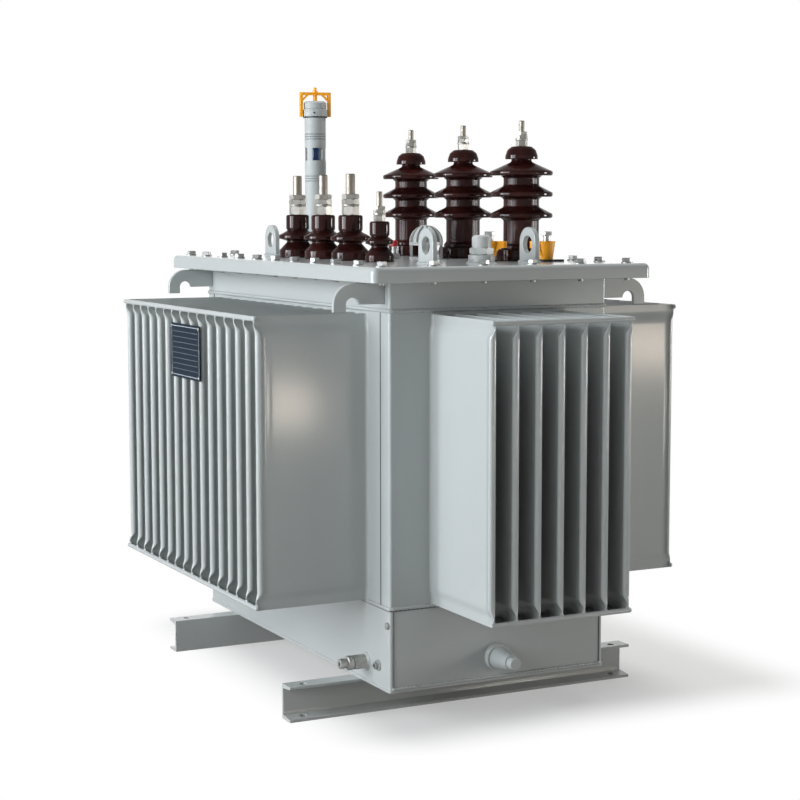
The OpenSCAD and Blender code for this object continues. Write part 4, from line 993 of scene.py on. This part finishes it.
# white to the camera, dim to the surfaces, grey in mirrors and paler behind the object
room = {"glow": 0.012, "mirror": 0.40, "mirrorTop": 0.20, "topFrom": 0.7, "behind": (0.447, 0.894, 0.0),
        "mirrorBehind": 0.9, "behindPower": 10}
white = rgb(1, 1, 1)
world = bpy.data.worlds.new("room")
world.use_nodes = True
bpy.context.scene.world = world
sky = Bench(world.node_tree)
world.node_tree.nodes.clear()
seen = sky.add("ShaderNodeLightPath", None, None, "Is Camera Ray")
mirrored = sky.add("ShaderNodeLightPath", None, None, "Is Glossy Ray")
mirrored = mirrored.either(sky.add("ShaderNodeLightPath", None, None, "Is Transmission Ray"))
toward = sky.add("ShaderNodeTexCoord", None, None, "Generated")
height = sky.add("ShaderNodeSeparateXYZ", None, {0: toward}, "Z")
fade = sky.add("ShaderNodeMapRange", None, {"Value": height, "From Min": 0.0, "From Max": room["topFrom"],
                                            "To Min": room["mirror"], "To Max": room["mirrorTop"]})
pair = {0: toward, 1: room["behind"]}
behind = sky.add("ShaderNodeVectorMath", {"operation": "DOT_PRODUCT"}, pair, "Value")
fade = fade + behind.either(0.0) ** room["behindPower"] * room["mirrorBehind"]
strength = seen + (1 - seen) * (mirrored * fade + (1 - mirrored) * room["glow"])
back = sky.add("ShaderNodeBackground", None, {"Color": white, "Strength": strength})
sky.add("ShaderNodeOutputWorld", None, {"Surface": back})

# pale floor that keeps the shadow near the object and turns white away from it
floorLook = {"half": 12.0, "colour": rgb(0.36, 0.36, 0.355), "grain": rgb(0.39, 0.39, 0.385), "lift": 0.37,
             "shadowLow": (-0.22, -0.53), "shadowHigh": (0.66, 0.60), "fade": 0.24}
ground = Finish("paleFloor", Roughness=0.9, Specular_IOR_Level=0.0)
ground.feed("Base Color", ground.tint(ground.noise(4.0, 2.0) * 0.1, floorLook["colour"], floorLook["grain"]))
seen = ground.add("ShaderNodeLightPath", None, None, "Is Camera Ray")
mirrored = ground.add("ShaderNodeLightPath", None, None, "Is Glossy Ray")
shine = seen.either(mirrored * room["mirror"])
lift = ground.add("ShaderNodeEmission", None, {"Color": white, "Strength": shine * floorLook["lift"]})
shaded = ground.add("ShaderNodeAddShader", None, {0: Wire(ground, ground.shader.outputs[0]), 1: lift})
plain = ground.add("ShaderNodeEmission", None, {"Color": white, "Strength": shine})
outside = []
for letter, low, high in zip("XY", floorLook["shadowLow"], floorLook["shadowHigh"]):
    outside.append((abs(ground.axis(letter) - (low + high) / 2) - (high - low) / 2).either(0.0) ** 2)
away = ground.ease((outside[0] + outside[1]) ** 0.5, 0.0, floorLook["fade"]) * seen.either(mirrored)
both = ground.add("ShaderNodeMixShader", None, {0: away, 1: shaded, 2: plain})
surface = next(n for n in ground.tree.nodes if n.type == "OUTPUT_MATERIAL").inputs["Surface"]
ground.tree.links.new(both.socket, surface)
half = floorLook["half"]
bm = bmesh.new()
bm.faces.new([bm.verts.new((x * half, y * half, 0.0)) for x, y in ((-1, -1), (1, -1), (1, 1), (-1, 1))])
floor = placed("floor", meshOf("floor", bm))
floor.data.materials.append(ground.material)
bpy.context.scene.view_settings.view_transform = "Standard"
print("camera, light and floor set")
